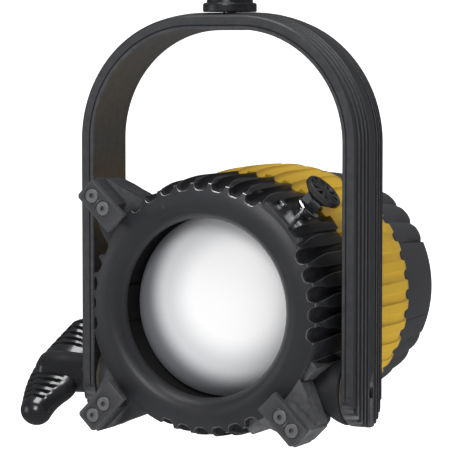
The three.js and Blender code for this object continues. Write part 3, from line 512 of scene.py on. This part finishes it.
def yoke_stations():
    """(x, z, outward direction) along the shoulder line, from the right foot to the left foot."""
    bend_steps = 40
    centre_x = YOKE_HALF_WIDTH - YOKE_BEND_RADIUS
    centre_z = YOKE_TOP - YOKE_BEND_RADIUS
    right = [(YOKE_HALF_WIDTH, -YOKE_DEPTH / 2 - 1 + (centre_z + YOKE_DEPTH / 2) * s / 24, (1, 0))
             for s in range(24)]
    for s in range(bend_steps + 1):
        angle = math.pi / 2 * s / bend_steps
        out = (math.cos(angle), math.sin(angle))
        right.append((centre_x + YOKE_BEND_RADIUS * out[0], centre_z + YOKE_BEND_RADIUS * out[1], out))
    left = [(-x, z, (-out[0], out[1])) for x, z, out in reversed(right)]
    return right + left


def make_yoke():
    section = yoke_section()
    rings = [
        [Vector((x + out[0] * offset, y, z + out[1] * offset)) for y, offset in section]
        for x, z, out in yoke_stations()
    ]
    foot = YOKE_DEPTH / 2
    rounded = [(foot * math.cos(math.pi + math.pi * s / 48), foot * math.sin(math.pi + math.pi * s / 48))
               for s in range(49)]
    stadium = prism([*rounded, (foot + 0.01, YOKE_TOP + 20), (-foot - 0.01, YOKE_TOP + 20)],
                    -YOKE_OUTER_X - 5, YOKE_OUTER_X + 5, "x")
    holes = [
        moved(rod(3.5, 70, YOKE_OUTER_X + 5), ALONG_X),
        moved(rod(8, 70, 90.3, 48), ALONG_X),
        moved(rod(8, -YOKE_OUTER_X - 5, -70, 48), ALONG_X),
        moved(rod(9.3, YOKE_TOP - 20, YOKE_TOP - 3, 64), ALONG_Z),
        moved(rod(4.6, YOKE_TOP - 20, YOKE_TOP + 10), ALONG_Z),
    ]
    piece("Yoke_Bow", loft(rings), TILT, SATIN, "yoke", ["yoke_bow"], "satin_black", keep=[stadium],
          cut=holes, smooth=28)


def make_spigot():
    base = (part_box("spigot")[0].z - TILT.z) / MM
    length = 2 * half_size("spigot").z
    pin, flange, height = 14, half_size("spigot").x, 5.5
    profile = [(0, 26), (4.3, 26), (4.3, 0.5), (4.8, 0), (flange - 0.5, 0), (flange, 0.5),
               (flange, height - 1.9)]
    profile += [(flange - 1.4 + 1.4 * math.cos(a), height - 1.4 + 1.4 * math.sin(a))
                for a in (math.radians(18 * s) for s in range(1, 6))]
    profile += [(pin + 0.5, height), (pin + 0.12, height + 0.12), (pin, height + 0.5)]
    profile += [(pin, length - 20.2), (pin - 0.2, length - 19.8), (pin - 1.6, length - 18.4),
                (pin - 1.6, length - 13.6), (pin - 0.2, length - 12.2), (pin, length - 11.8),
                (pin, length - 1.7), (pin - 0.3, length - 1.3), (pin - 1.3, length - 0.3),
                (pin - 1.7, length), (0, length)]
    shape = moved(turned(profile, 96), Matrix.Translation((0, 0, base)) @ ALONG_Z)
    piece("Spigot", shape, TILT, HOUSING, "yoke", ["spigot"], "black_housing", smooth=30)


# ------------------------------------------------------------------ tilt pivots and lever


def make_trunnions():
    """Round bosses that nest against the lower lugs and the corner flats of the lamp."""
    face = (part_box("right_trunnion")[1].x) / MM
    radius = half_size("right_trunnion").z
    for side, name in ((-1, "left"), (1, "right")):
        mirror = Matrix.Scale(side, 4, (1, 0, 0))
        round_boss = moved(turned([(radius, 40), (radius, face - 0.8), (radius - 0.8, face)], 96), ALONG_X)
        corner = turned_to(box((CORNER_FLAT + 0.3, 140), (-40, 40), (LUG_HALF_WIDTH + 0.3, 90)),
                           CORNERS["lower_right"])
        corner = moved(corner, Matrix.Translation((0, 0, AXIS_HEIGHT)))
        shell = moved(rod(83, FRONT_END_Y - 0.3, 40, 96), Matrix.Translation((0, 0, AXIS_HEIGHT)))
        bore = moved(rod(5.2, 66, face + 1), ALONG_X)
        piece(f"Trunnion_{name}", moved(round_boss, mirror), TILT, SATIN, "lamp_head",
              [f"{name}_trunnion"], "satin_black", bevel=0.45, keep=[moved(corner, mirror)],
              cut=[moved(shell, mirror), moved(bore, mirror)])


LEVER_TILT = math.radians(36)
LEVER_GROOVES = [-1 - 5.05 * k for k in range(7)] + [17 + 5.05 * k for k in range(5)]
LEVER_OUTLINE = sampled([(-139.1, -102, 8.8, 0), (-138.6, -102, 8.8, 9), (-137.1, -103, 8.6, 18),
                         (-135.4, -106.4, 8.4, 24), (-133.4, -109.2, 8.6, 30),
                         (-131.2, -110.4, 9.0, 36)], 6)
LEVER_BALL_START = 36
LEVER_BALL_LENGTH = 9.7
LEVER_REACH = 45.68


def lever_widths(along):
    """The grip's outer x, inner x and half thickness: a wing that ends in a ball on each side."""
    far = abs(along)
    if far < LEVER_BALL_START:
        after = next(i for i, row in enumerate(LEVER_OUTLINE) if row[3] > far)
        one, two = LEVER_OUTLINE[after - 1], LEVER_OUTLINE[after]
        share = (far - one[3]) / (two[3] - one[3])
        return [one[k] + (two[k] - one[k]) * share for k in range(3)]
    fade = math.sqrt(max(0.0, 1 - ((far - LEVER_BALL_START) / LEVER_BALL_LENGTH) ** 2))
    middle = -120.8 + 0.1 * (far - LEVER_BALL_START)
    return [middle - 10.4 * fade, middle + 10.4 * fade, 9.0 * fade]


def groove_depth(along):
    """Finger grooves: a steep upper wall and a softer lower one."""
    for place in LEVER_GROOVES:
        off = along - place
        if -1.55 < off <= 0.9:
            return 1.5 * math.sin(math.pi / 2 * (off + 1.55) / 2.45) ** 0.8
        if 0.9 < off < 1.25:
            return 1.5 * (1.25 - off) / 0.35
    return 0.0


def lever_stations():
    plain = [0.75 * k for k in range(-61, 62)]
    edges = [place + off for place in LEVER_GROOVES
             for off in (-1.6, -1.5, -1.2, -0.6, 0.2, 0.85, 0.95, 1.1, 1.23, 1.3)]
    ends = [side * (LEVER_REACH - 0.06 * k * k) for k in range(6) for side in (-1, 1)]
    return sorted({round(along, 3) for along in plain + edges + ends if abs(along) <= LEVER_REACH})


def lever_ring(along, sides=64):
    outer, inner, half = lever_widths(along)
    depth = min(groove_depth(along), half * 0.5)
    ring = []
    for j in range(sides):
        angle = 2 * math.pi * j / sides
        outward, sideways = math.cos(angle), math.sin(angle)
        sunk = depth * min(1, max(0, (0.62 - outward) / 0.22))
        x = (outer + inner) / 2 + ((inner - outer) / 2 - sunk) * outward
        across = (half - sunk) * sideways
        ring.append(Vector((
            x,
            along * math.cos(LEVER_TILT) - across * math.sin(LEVER_TILT),
            along * math.sin(LEVER_TILT) + across * math.cos(LEVER_TILT),
        )))
    return ring


def make_lever():
    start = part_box("tilt_lever")[1].x / MM
    barrel = [(13.1, -127), (13, -118), (12.6, -110), (12.4, -104), (12.4, start - 1)]
    hub = [(0, -136), (7, -135.2), (11.4, -131.6), *curve_through(barrel, 6)]
    hub += [(12.1, start - 0.3), (11.6, start), (0, start)]
    hole = moved(rod(9.6, start - 7.6, start + 1, 6), ALONG_X)
    bore = moved(rod(5.2, -121, start + 1), ALONG_X)
    rings = [lever_ring(along) for along in lever_stations()]
    piece("Tilt_Lever", loft(rings), TILT, LEVER, "clamp_lever", ["tilt_lever"], "gloss_lever",
          add=[moved(turned(hub, 64), ALONG_X)], cut=[hole, bore], smooth=40)


# ------------------------------------------------------------------ flutes


def is_smooth(degrees):
    turn = degrees % 360
    return any(low <= turn <= high for low, high in SMOOTH_SECTORS)


def groove(offset, low, high):
    """How deep a flute is beside its middle: 1 on its floor and 0 at its low and high edges."""
    reach = min(1, max(-offset / low, offset / high))
    side = max(0.0, (reach - 0.2) / 0.8)
    return (1 - side ** 2.4) ** (1 / 1.7)


WALL_STEPS = (1, 0.992, 0.97, 0.93, 0.86, 0.76, 0.62, 0.45, 0.25)


def flute_offsets(low, high):
    """Angles round one flute from its middle: close together on its walls, then over the land."""
    walls = [-low * step for step in WALL_STEPS] + [0] + [high * step for step in reversed(WALL_STEPS)]
    land = FLUTE_PITCH - low - high
    rest = [high + land * step for step in (0.06, 0.2, 0.4, 0.6, 0.8, 0.94)]
    return walls + rest


def flute_angles(low, high):
    return [FLUTE_PITCH * k + offset for k in range(40) for offset in flute_offsets(low, high)]


def flat_limit(degrees):
    """The radius at which a corner's flat lies; the upper right corner has none."""
    turn = (degrees - 45) % 90
    limit = CORNER_FLAT / math.cos(math.radians(min(turn, 90 - turn)))
    return limit if abs(degrees - 45) > 45 else 200


def bezel_front(radius):
    """How far forward the bezel's face is at a radius outside its crest."""
    fall = max(0.0, radius - 63.5)
    return -41.4 + 0.0233 * fall ** 2


def bezel_radius(degrees):
    offset = (degrees + FLUTE_PITCH / 2) % FLUTE_PITCH - FLUTE_PITCH / 2
    depth = 0 if is_smooth(degrees) else groove(offset, NOTCH_REACH, NOTCH_REACH)
    return BEZEL_TIP - BEZEL_BITE * depth


def make_bezel():
    angles = flute_angles(NOTCH_REACH, NOTCH_REACH)
    inner = curve_through(
        [(55.4, -30.6), (54.5, -30.9), (54.05, -31.6), (54.3, -33.6), (55.4, -36.2), (57.4, -38.7),
         (60.2, -40.6), (63.5, -41.4)], 4)
    rings = [[polar(a, r, y) for a in angles] for r, y in inner]
    steps = 7
    chamfer = 0.6
    for s in range(1, steps + 1):
        ring = []
        for a in angles:
            edge = bezel_radius(a) - chamfer
            radius = 63.5 + (edge - 63.5) * s / steps
            ring.append(polar(a, radius, bezel_front(radius)))
        rings.append(ring)
    worn_and_highlight_band = len(rings) - 1
    for inset, drop in ((0.1, 0.5), (0, 0.75)):
        rings.append([polar(a, bezel_radius(a) - inset, bezel_front(bezel_radius(a) - chamfer) + drop)
                      for a in angles])
    rings.append([polar(a, bezel_radius(a), BEZEL_BACK_Y - 0.3) for a in angles])
    rings.append([polar(a, bezel_radius(a) - 0.3, BEZEL_BACK_Y) for a in angles])
    rings += [[polar(a, 66, BEZEL_BACK_Y) for a in angles], [polar(a, 64, -30.6) for a in angles]]
    made = piece("Bezel_Ring", loft(rings, closed=True), AXIS, SATIN, "lamp_head",
                 ["front_bezel"], "satin_black", smooth=48)
    # The band just inside the scalloped edge, outside the smooth sectors, gets the worn-edge material: worn
    # bare metal with a painted highlight along the scallops.
    made.data.materials.append(WORN_EDGE_AND_HIGHLIGHT)
    for face in made.data.polygons:
        band, place = divmod(face.index, len(angles))
        if band == worn_and_highlight_band and not is_smooth(angles[place] + 0.1):
            face.material_index = 1
    outline = [(68, -15.5), (77, -15.5), (77, -13.6), (75.7, -12.6), (75.7, -6.2), (77, -5),
               (77, 15.5), (68, 15.5)]
    lip = turned_to(prism(outline, -38.8, BEZEL_BACK_Y), CORNERS["upper_right"])
    piece("Bezel_Lip", lip, AXIS, SATIN, "lamp_head", slot="satin_black", bevel=0.5)


def lug_bar():
    outline = [(70, -38.2), (79.5, -38.2), (79.5, -48.3), (LUG_TIP - 1, -48.3), (LUG_TIP, -47.3),
               (LUG_TIP, -26), (99, -17), (94, -10), (86, -2), (76.5, 4.5), (CORNER_FLAT + 0.3, 4.5),
               (CORNER_FLAT + 0.3, BEZEL_BACK_Y), (70, BEZEL_BACK_Y)]
    rings = [[Vector((u, y, v)) for u, y in outline] for v in (-LUG_HALF_WIDTH, LUG_HALF_WIDTH)]
    return loft(rings)


def lug_web():
    half = curve_through(
        [(68, 18.9), (72, 18.7), (78, 17.5), (85, 14.6), (92, 11.5), (98.5, 9), (101.5, 6)], 3)
    outline = [(p[0], p[1]) for p in half] + [(p[0], -p[1]) for p in reversed(half)]
    return prism(outline, -38.2, -23)


def make_lugs():
    housing = rod(CORNER_FLAT + 0.2, BEZEL_BACK_Y, 10, 96)
    flat = box((60, CORNER_FLAT + 0.3), (BEZEL_BACK_Y, 20), (-30, 30))
    for corner in CLIPPED:
        angle = CORNERS[corner]
        piece(f"Bezel_Lug_{corner}", turned_to(lug_bar(), angle), AXIS, SATIN, "lamp_head",
              slot="satin_black", bevel=0.7, add=[turned_to(lug_web(), angle)],
              cut=[housing, turned_to(flat, angle)])


# ------------------------------------------------------------------ clip plates and screws


def hex_socket(radius, low, high):
    return rod(radius, low, high, 6)


def countersunk_screw(front):
    """A socket screw seen from -Y, with a small bevel round its head and its socket."""
    profile = [(0, front), (3.95, front), (4.3, front + 0.25), (4.35, front + 0.5), (2.2, front + 2.7),
               (2.1, -41), (0, -41)]
    return turned(profile, 48), [hex_socket(1.75, front - 1, front + 2)]


def make_clips():
    tip = LUG_TIP - 0.3
    half = 7.5
    outline = [(71, -half), (tip - 1.5, -half), (tip, -half + 1.5), (tip, half - 1.5),
               (tip - 1.5, half), (71, half)]
    for corner in CLIPPED:
        angle = CORNERS[corner]
        sinks = []
        for u in CLIP_SCREW_RADII:
            sink = turned([(0, -60), (5, -60), (5, -53), (2.7, -50.2), (2.7, -40), (0, -40)], 48)
            sinks.append(turned_to(moved(sink, Matrix.Translation((u, 0, 0))), angle))
        piece(f"Clip_Plate_{corner}", turned_to(prism(outline, -53, -48.6), angle), AXIS, CLIP_PLATE,
              "lamp_head", [f"clip_plate_{corner}"], "satin_black", bevel=0.35, cut=sinks)
        for i, u in enumerate(CLIP_SCREW_RADII, 1):
            head, socket = countersunk_screw(-52.9)
            place = Matrix.Translation(polar(angle, u, 0)) @ Matrix.Rotation(math.radians(17 * i), 4, "Y")
            piece(f"Clip_Screw_{corner}_{i}", moved(head, place), AXIS, SCREW_GREY, "lamp_head",
                  [f"clip_screw_{corner}_{i}"], "grey_screws", smooth=30,
                  cut=[moved(shape, place) for shape in socket])


# ------------------------------------------------------------------ housings and wheel


def housing_point(angle, offset, crest, depth, low, high, tilt, y):
    """A point on the black shell: each land leans, so that its far edge tucks under the next one."""
    if -low <= offset <= high:
        base = crest - (tilt if offset < 0 else 0)
        cut = 0 if is_smooth(angle) else depth * groove(offset, low, high)
        radius = min(base, crest - cut)
    else:
        land = FLUTE_PITCH - low - high
        radius = crest - tilt * (offset - high) / land
    return polar(angle, min(radius, flat_limit(angle)), y)


def housing_ring(crest, depth, low, high, tilt, y):
    offsets = flute_offsets(low, high)
    return [housing_point(FLUTE_PITCH * k + offset, offset, crest, depth, low, high, tilt, y)
            for k in range(40) for offset in offsets]


def make_front_housing():
    front = BEZEL_BACK_Y + 0.3
    rows = sampled([(75.6, 4.3, 3.6, 3.6, 0.1, front), (77.3, 4.3, 3.0, 3.2, 0.3, -29.5),
                    (78.6, 4.2, 2.2, 2.7, 0.6, -25), (79.5, 4.0, 1.4, 2.2, 1.0, -17),
                    (79.9, 3.7, 1.0, 2.0, 1.4, -8), (80, 3.3, 1.0, 2.1, 2.0, 5),
                    (80, 2.95, 1.0, 2.3, 2.7, FRONT_END_Y - 0.5)], 4)
    rings = [housing_ring(*row) for row in rows]
    rings.append(housing_ring(79.6, 2.7, 1.0, 2.3, 2.6, FRONT_END_Y))
    per_flute = len(flute_offsets(1, 1))
    plain = [FLUTE_PITCH * k + FLUTE_PITCH * i / per_flute for k in range(40) for i in range(per_flute)]
    for radius, y in ((74.1, FRONT_END_Y), (74.1, 26), (70, 26), (66.5, 15), (66.5, front)):
        rings.append([polar(a - 1, radius, y) for a in plain])
    made = piece("Front_Housing", loft(rings, closed=True), AXIS, HOUSING, "lamp_head",
                 ["front_housing"], "black_housing", smooth=50)
    # The crest face of each flute gets the worn-edge material: worn bare metal with a painted highlight
    # along each crest line.
    made.data.materials.append(WORN_EDGE_AND_HIGHLIGHT)
    for face in made.data.polygons:
        band, place = divmod(face.index, 40 * per_flute)
        if band < len(rows) - 1 and place % per_flute == per_flute - 1:
            face.material_index = 1
    channel = turned_to(box((75, 90), (front - 1, FRONT_END_Y + 1), (-6, 15)), 45)
    boolean(made, [channel, latch_place(rod(5.7, 60, 84))], AXIS)
    # Bright steel posts at the ends of the ribs beside the channel: worn bare metal with a painted
    # highlight.
    for name, middle in (("low", -3.5), ("high", 13)):
        post = turned_to(box((75, 77.4), (-21, -17), (middle - 1.9, middle + 1.9)), 45)
        piece(f"Worn_Highlight_Post_{name}", post, AXIS, STEEL, "lamp_head", slot="bright_steel", bevel=0.35)


def shell_ring(crest, depth, y):
    """The yellow shell: straight grooves between rounded lands."""
    return [polar(FLUTE_PITCH * k + offset, crest - depth * groove(offset, 2.1, 2.9), y)
            for k in range(40) for offset in flute_offsets(2.1, 2.9)]


def make_mid_housing():
    rows = sampled([(79.9, 2.6, MID_START_Y), (81.2, 2.5, 27), (82.1, 2.2, 40), (82.3, 1.7, 56),
                    (82.25, 1.2, 70), (81.9, 1.2, 81), (80.4, 1.7, 90)], 4)
    rows += [(79.2, 2.0, 93.6), (78.2, 1.9, MID_END_Y)]
    rings = [shell_ring(*row) for row in rows]
    rings += [[polar(a, 74.5, y) for a in flute_angles(2.1, 2.9)] for y in (MID_END_Y, MID_START_Y)]
    piece("Mid_Housing", loft(rings, closed=True), AXIS, YELLOW, "lamp_head", ["mid_housing"],
          "yellow_housing", smooth=60)


def wheel_radius(degrees, crest, depth):
    turn = degrees % 180
    if min(turn, 180 - turn) < PAD_HALF_ANGLE:
        return crest
    across = abs(2 * ((degrees / WHEEL_PITCH) % 1) - 1)
    return crest - depth * across ** 2.6


def make_wheel():
    count = 30 * 24
    angles = [360 * (j + 0.5) / count for j in range(count)]
    outline = [(76.9, 0.7, 96.6), (77.0, 0.9, 99), (76.8, 1.3, 108), (76.2, 1.8, 118), (75.4, 2.2, 129),
               (74.2, 2.5, 139), (72.8, 2.7, 147), (71.3, 2.6, 152)]
    rings = [[polar(a, r, WHEEL_START_Y) for a in angles] for r in (72.4, 76.2)]
    for crest, depth, y in sampled(outline, 3):
        rings.append([polar(a, wheel_radius(a, crest, depth), y) for a in angles])
    for crest, depth, y in ((70.4, 2.3, 154.2), (69.2, 1.9, 155.2), (68.4, 1.6, 155.5)):
        rings.append([polar(a, wheel_radius(a, crest, depth), y) for a in angles])
    for radius, y in ((63.4, 155.5), (63, 155.1), (63, 150), (66.5, 150), (66.5, 104), (62, 104),
                      (62, 100), (72.4, 100)):
        rings.append([polar(a, radius, y) for a in angles])
    seam = turned_to(box((74, 80), (94, 154.5), (-0.14, 0.14)), -13)
    piece("Focus_Wheel", loft(rings, closed=True), AXIS, WHEEL, "focus_ring", ["focus_wheel"],
          "black_wheel", smooth=60, cut=[seam])


# ------------------------------------------------------------------ lens and barrel


def make_lens():
    radius = half_size("lens").x
    low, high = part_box("lens")
    back = (high.y - TILT.y) / MM
    front = (low.y - TILT.y) / MM
    rim = -10.5
    profile = [(radius * math.sin(a), rim - (rim - front) * math.cos(a))
               for a in (math.pi / 2 * s / 40 for s in range(41))]
    profile += [(radius, back + 0.6 - 1.2), (radius - 0.6, back), (0, back)]
    piece("Lens", turned(profile, 128), AXIS, PAINTED_SHADING_LENS, "lamp_head", ["lens"], "frosted_glass", smooth=40)


def make_barrel():
    bore, wall = 57, 62
    teeth = []
    y = -30
    while y < -12:
        teeth += [(bore + 0.25, y), (bore - 0.02, y + 0.45)]
        y += 0.9
    profile = [(bore + 0.3, -30.3), *teeth, (bore, -3), (52, -3), (52, 9), (44, 9), (44, 14), (66.2, 14),
               (66.2, 9), (wall, 9), (wall, -30.3)]
    shape = turned(profile, 128, closed=True)
    hole = latch_place(rod(2.9, 57.5, 70))
    guides = [moved(rod(4.3, 8, 15), Matrix.Translation(polar(a, 52, 0))) for a in (90, 210, 330)]
    piece("Lens_Barrel", shape, AXIS, INTERIOR, "lamp_head", ["lens_barrel"], "matt_interior",
          smooth=30, cut=[hole, *guides])


# ------------------------------------------------------------------ latch


def latch_body():
    thread = []
    at = 70.4
    while at < 77.6:
        thread += [(4.9, at), (5.35, at + 0.3), (5.35, at + 0.45), (4.9, at + 0.75)]
        at += 0.75
    neck = [(0, 70), (4.8, 70), *thread, (4.9, 78.3), (7.3, 78.3), (7.7, 78.6), (7.7, 79.6), (7.3, 79.9),
            (0, 79.9)]
    hexagon = rod(7, 79.7, 87.9, 6)
    cone = turned([(0, 79.3), (6.6, 79.3), (7.3, 80.3), (7.3, 87), (6.2, 87.9), (0, 87.9)], 64)
    bore = latch_place(turned([(0, 68.3), (2.8, 68.3), (2.8, 73.3), (4.4, 73.3), (4.4, 86.7), (2.8, 86.7),
                               (2.8, 90.3), (0, 90.3)], 48))
    piece("Latch_Hexagon", latch_place(hexagon), AXIS, CHROME, "lamp_head", slot="chromed_steel",
          bevel=0.25, keep=[latch_place(cone)], cut=[bore])
    piece("Latch_Neck", latch_place(turned(neck, 64)), AXIS, CHROME, "lamp_head", ["latch_body"],
          "chromed_steel", smooth=25, cut=[bore])


def latch_knob():
    """A mushroom knob: a ribbed skirt, and a dished face with raised spokes round a small boss."""
    face, rim = LATCH_FACE, 12.3
    skirt = curve_through([(7.2, face - 7.1), (8.0, face - 6.4), (9.4, face - 5.4), (11.0, face - 4.3),
                           (11.9, face - 3.5)], 3)
    rings = []
    for s in range(3):
        low = face - 3.4 + s * 0.8
        rings += [(rim - 0.4, low), (rim, low + 0.15), (rim, low + 0.5), (rim - 0.4, low + 0.62)]
    profile = [(0, face - 3), (2.8, face - 3), (2.8, face - 7.1), *skirt, *rings, (rim - 0.2, face - 0.5),
               (rim - 0.7, face), (rim - 1.5, face), (rim - 1.9, face - 0.4), (rim - 2.3, face - 1.9),
               (3.6, face - 2.1), (3.3, face - 0.5), (2.7, face - 0.25), (0, face - 0.25)]
    spokes = []
    for k in range(10):
        spoke = box((3.0, rim - 1.9), (face - 2.4, face - 0.35), (-1.0, 1.0))
        spokes.append(latch_place(turned_to(spoke, 36 * k + 9)))
    piece("Latch_Knob", latch_place(turned(profile, 96)), AXIS, KNOB, "lock_pin", ["latch_knob"],
          "black_knob", bevel=0.16, segments=2, add=spokes)
    pin = turned([(0, 59.2), (1.9, 59.2), (2.5, 59.8), (2.5, 76.7), (4, 76.7), (4, 78.1), (2.5, 78.1),
                  (2.5, face - 3.3), (0, face - 3.3)], 48)
    piece("Latch_Pin", latch_place(pin), AXIS, CHROME, "lock_pin", ["latch_pin"], "chromed_steel", smooth=30)


# ------------------------------------------------------------------ rear


def make_rear():
    back = (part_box("rear_cover")[1].y - TILT.y) / MM
    radius = half_size("rear_cover").x
    disc = turned([(0, back - 4.6), (radius, back - 4.6), (radius, back - 1.2), (radius - 0.4, back - 0.4),
                   (radius - 1.4, back), (58, back), (57.6, back - 0.5), (56.8, back - 0.5), (56.4, back),
                   (0, back)], 128)
    posts = [moved(rod(4, 134.3, back - 3), Matrix.Translation(polar(a, COVER_SCREW_CIRCLE, 0)))
             for a in COVER_SCREW_ANGLES]
    holes = [moved(turned([(0, 130), (2.1, 130), (2.1, back - 0.6), (2.7, back + 1), (0, back + 1)], 32),
                   Matrix.Translation(polar(a, COVER_SCREW_CIRCLE, 0)))
             for a in COVER_SCREW_ANGLES]
    steps = [math.pi * s / 8 for s in range(9)]
    half_round = [(VENT_HALF_WIDTH * math.sin(a), VENT_HALF_WIDTH * math.cos(a)) for a in steps]
    slots = []
    for angle in range(0, 360, 12):
        if abs(angle - 270) <= 24:
            continue
        inner_end = [(VENT_START - x, -z) for x, z in half_round]
        outer_end = [(VENT_END + x, z) for x, z in half_round]
        slot = prism([*inner_end, *outer_end], back - 8, back + 5)
        slots.append(turned_to(slot, angle))
    inlet = moved(rod(10.3, 140, 160, 64), Matrix.Translation((0, 0, INLET_Z)))
    piece("Rear_Cover", disc, AXIS, HOUSING, "lamp_head", ["rear_cover"], "black_housing", bevel=0.25,
          segments=2, add=posts, cut=[*holes, *slots, inlet])
    face = back + 0.3
    for i, angle in enumerate(COVER_SCREW_ANGLES, 1):
        head = turned([(0, face), (3.9, face), (3.9, face + 1.4), (3.5, face + 2.1), (2.6, face + 2.6),
                       (0, face + 2.6)], 48)
        place = Matrix.Translation(polar(angle, COVER_SCREW_CIRCLE, 0))
        piece(f"Cover_Screw_{i}", moved(head, place), AXIS, SCREW_GREY, "lamp_head",
              [f"cover_screw_{i}"], "grey_screws", smooth=35,
              add=[moved(rod(1.8, 124, face + 1), place)],
              cut=[moved(hex_socket(1.4, face + 1, face + 4), place)])
    place = Matrix.Translation((0, 0, INLET_Z))
    shell = turned([(0, 143), (10, 143), (10, face), (12.6, face), (13, face + 0.4), (13, face + 1.9),
                    (12.3, face + 2.6), (8.2, face + 2.6), (7.5, face + 2), (7.5, face - 8),
                    (0, face - 8)], 96)
    key = box((-1.2, 1.2), (face - 8.5, face), (5.8, 8))
    piece("Power_Inlet", moved(shell, place), AXIS, KNOB, "lamp_head", ["power_inlet"], "black_knob",
          smooth=35, add=[moved(key, place)])
    pin = turned([(0, face - 9), (0.9, face - 9), (0.9, face - 2.6), (0.5, face - 2), (0, face - 2)], 20)
    pins = [moved(pin, place @ Matrix.Translation((x, 0, z))) for z in (2, -3) for x in (-2.6, 2.6)]
    piece("Inlet_Pins", joined(*pins), AXIS, BRONZE, "lamp_head", slot="bearing_bronze", smooth=35)


make_yoke()
make_spigot()
make_trunnions()
make_lever()
make_bezel()
make_lugs()
make_clips()
make_front_housing()
make_mid_housing()
make_wheel()
make_lens()
make_barrel()
latch_body()
latch_knob()
make_rear()


# ------------------------------------------------------------------ stage, lights and camera


def make_stage():
    """A white floor that sweeps up into a white wall behind the light."""
    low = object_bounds()[0].z - 0.35
    bend, wall = 1.6, 3.2
    path = [(-7, low), (0, low), (wall - bend, low)]
    path += [(wall - bend + bend * math.sin(a), low + bend - bend * math.cos(a))
             for a in (math.pi / 2 * s / 24 for s in range(1, 25))]
    path.append((wall, low + 7))
    points = [(x, y, z) for y, z in path for x in (-9, 9)]
    faces = [(2 * i, 2 * i + 1, 2 * i + 3, 2 * i + 2) for i in range(len(path) - 1)]
    mesh = bpy.data.meshes.new("Floor")
    mesh.from_pydata(points, [], faces)
    mesh.shade_smooth()
    floor = bpy.data.objects.new("Floor", mesh)
    bpy.context.scene.collection.objects.link(floor)
    floor.data.materials.append(surface("Pale_Floor", (0.9, 0.9, 0.9), 0.8, variation=0.01))
    shader = floor.data.materials[0].node_tree.nodes["Principled BSDF"]
    shader.inputs["Emission Color"].default_value = (1, 1, 1, 1)
    shader.inputs["Emission Strength"].default_value = 0.85
    floor.visible_glossy = False


def area_light(name, location, target, size, power, size_y=None):
    data = bpy.data.lights.new(name, "AREA")
    data.shape = "RECTANGLE"
    data.size = size
    data.size_y = size_y or size
    data.energy = power
    lamp = bpy.data.objects.new(name, data)
    bpy.context.scene.collection.objects.link(lamp)
    lamp.location = TILT + Vector(location)
    aim = TILT + Vector(target) - lamp.location
    lamp.rotation_mode = "QUATERNION"
    lamp.rotation_quaternion = aim.to_track_quat("-Z", "Y")


def make_lights():
    area_light("Key", (0.2, -1.8, 1.3), (0, 0, 0.05), 0.8, 17, 1.0)
    area_light("Fill", (-1.8, -1.2, 0.3), (0, 0, 0.05), 0.9, 3.5)
    area_light("Rim", (1.5, 0.7, 0.3), (0, 0.08, 0.05), 0.5, 0.5, 1.4)
    area_light("Top", (-0.2, 0, 1.7), (0, 0, 0), 0.9, 18)
    world = bpy.data.worlds.new("Studio")
    bpy.context.scene.world = world
    world.use_nodes = True
    background = world.node_tree.nodes["Background"]
    background.inputs["Color"].default_value = (1, 1, 1, 1)
    background.inputs["Strength"].default_value = 0.1


SENSOR_WIDTH = 36
FOCAL_LENGTH = 191.5
CAMERA_PLACE = Vector((655.14, -1299.54, 204.41))
CAMERA_AIM = Vector((-0.45074, 0.88962, -0.07359))


def make_camera():
    data = bpy.data.cameras.new("Camera")
    data.sensor_width = SENSOR_WIDTH
    data.lens = FOCAL_LENGTH
    camera = bpy.data.objects.new("Camera", data)
    bpy.context.scene.collection.objects.link(camera)
    camera.location = TILT + CAMERA_PLACE * MM
    camera.rotation_mode = "QUATERNION"
    camera.rotation_quaternion = CAMERA_AIM.to_track_quat("-Z", "Y")
    bpy.context.scene.camera = camera


make_stage()
make_lights()
make_camera()
bpy.context.scene.view_settings.view_transform = "Standard"
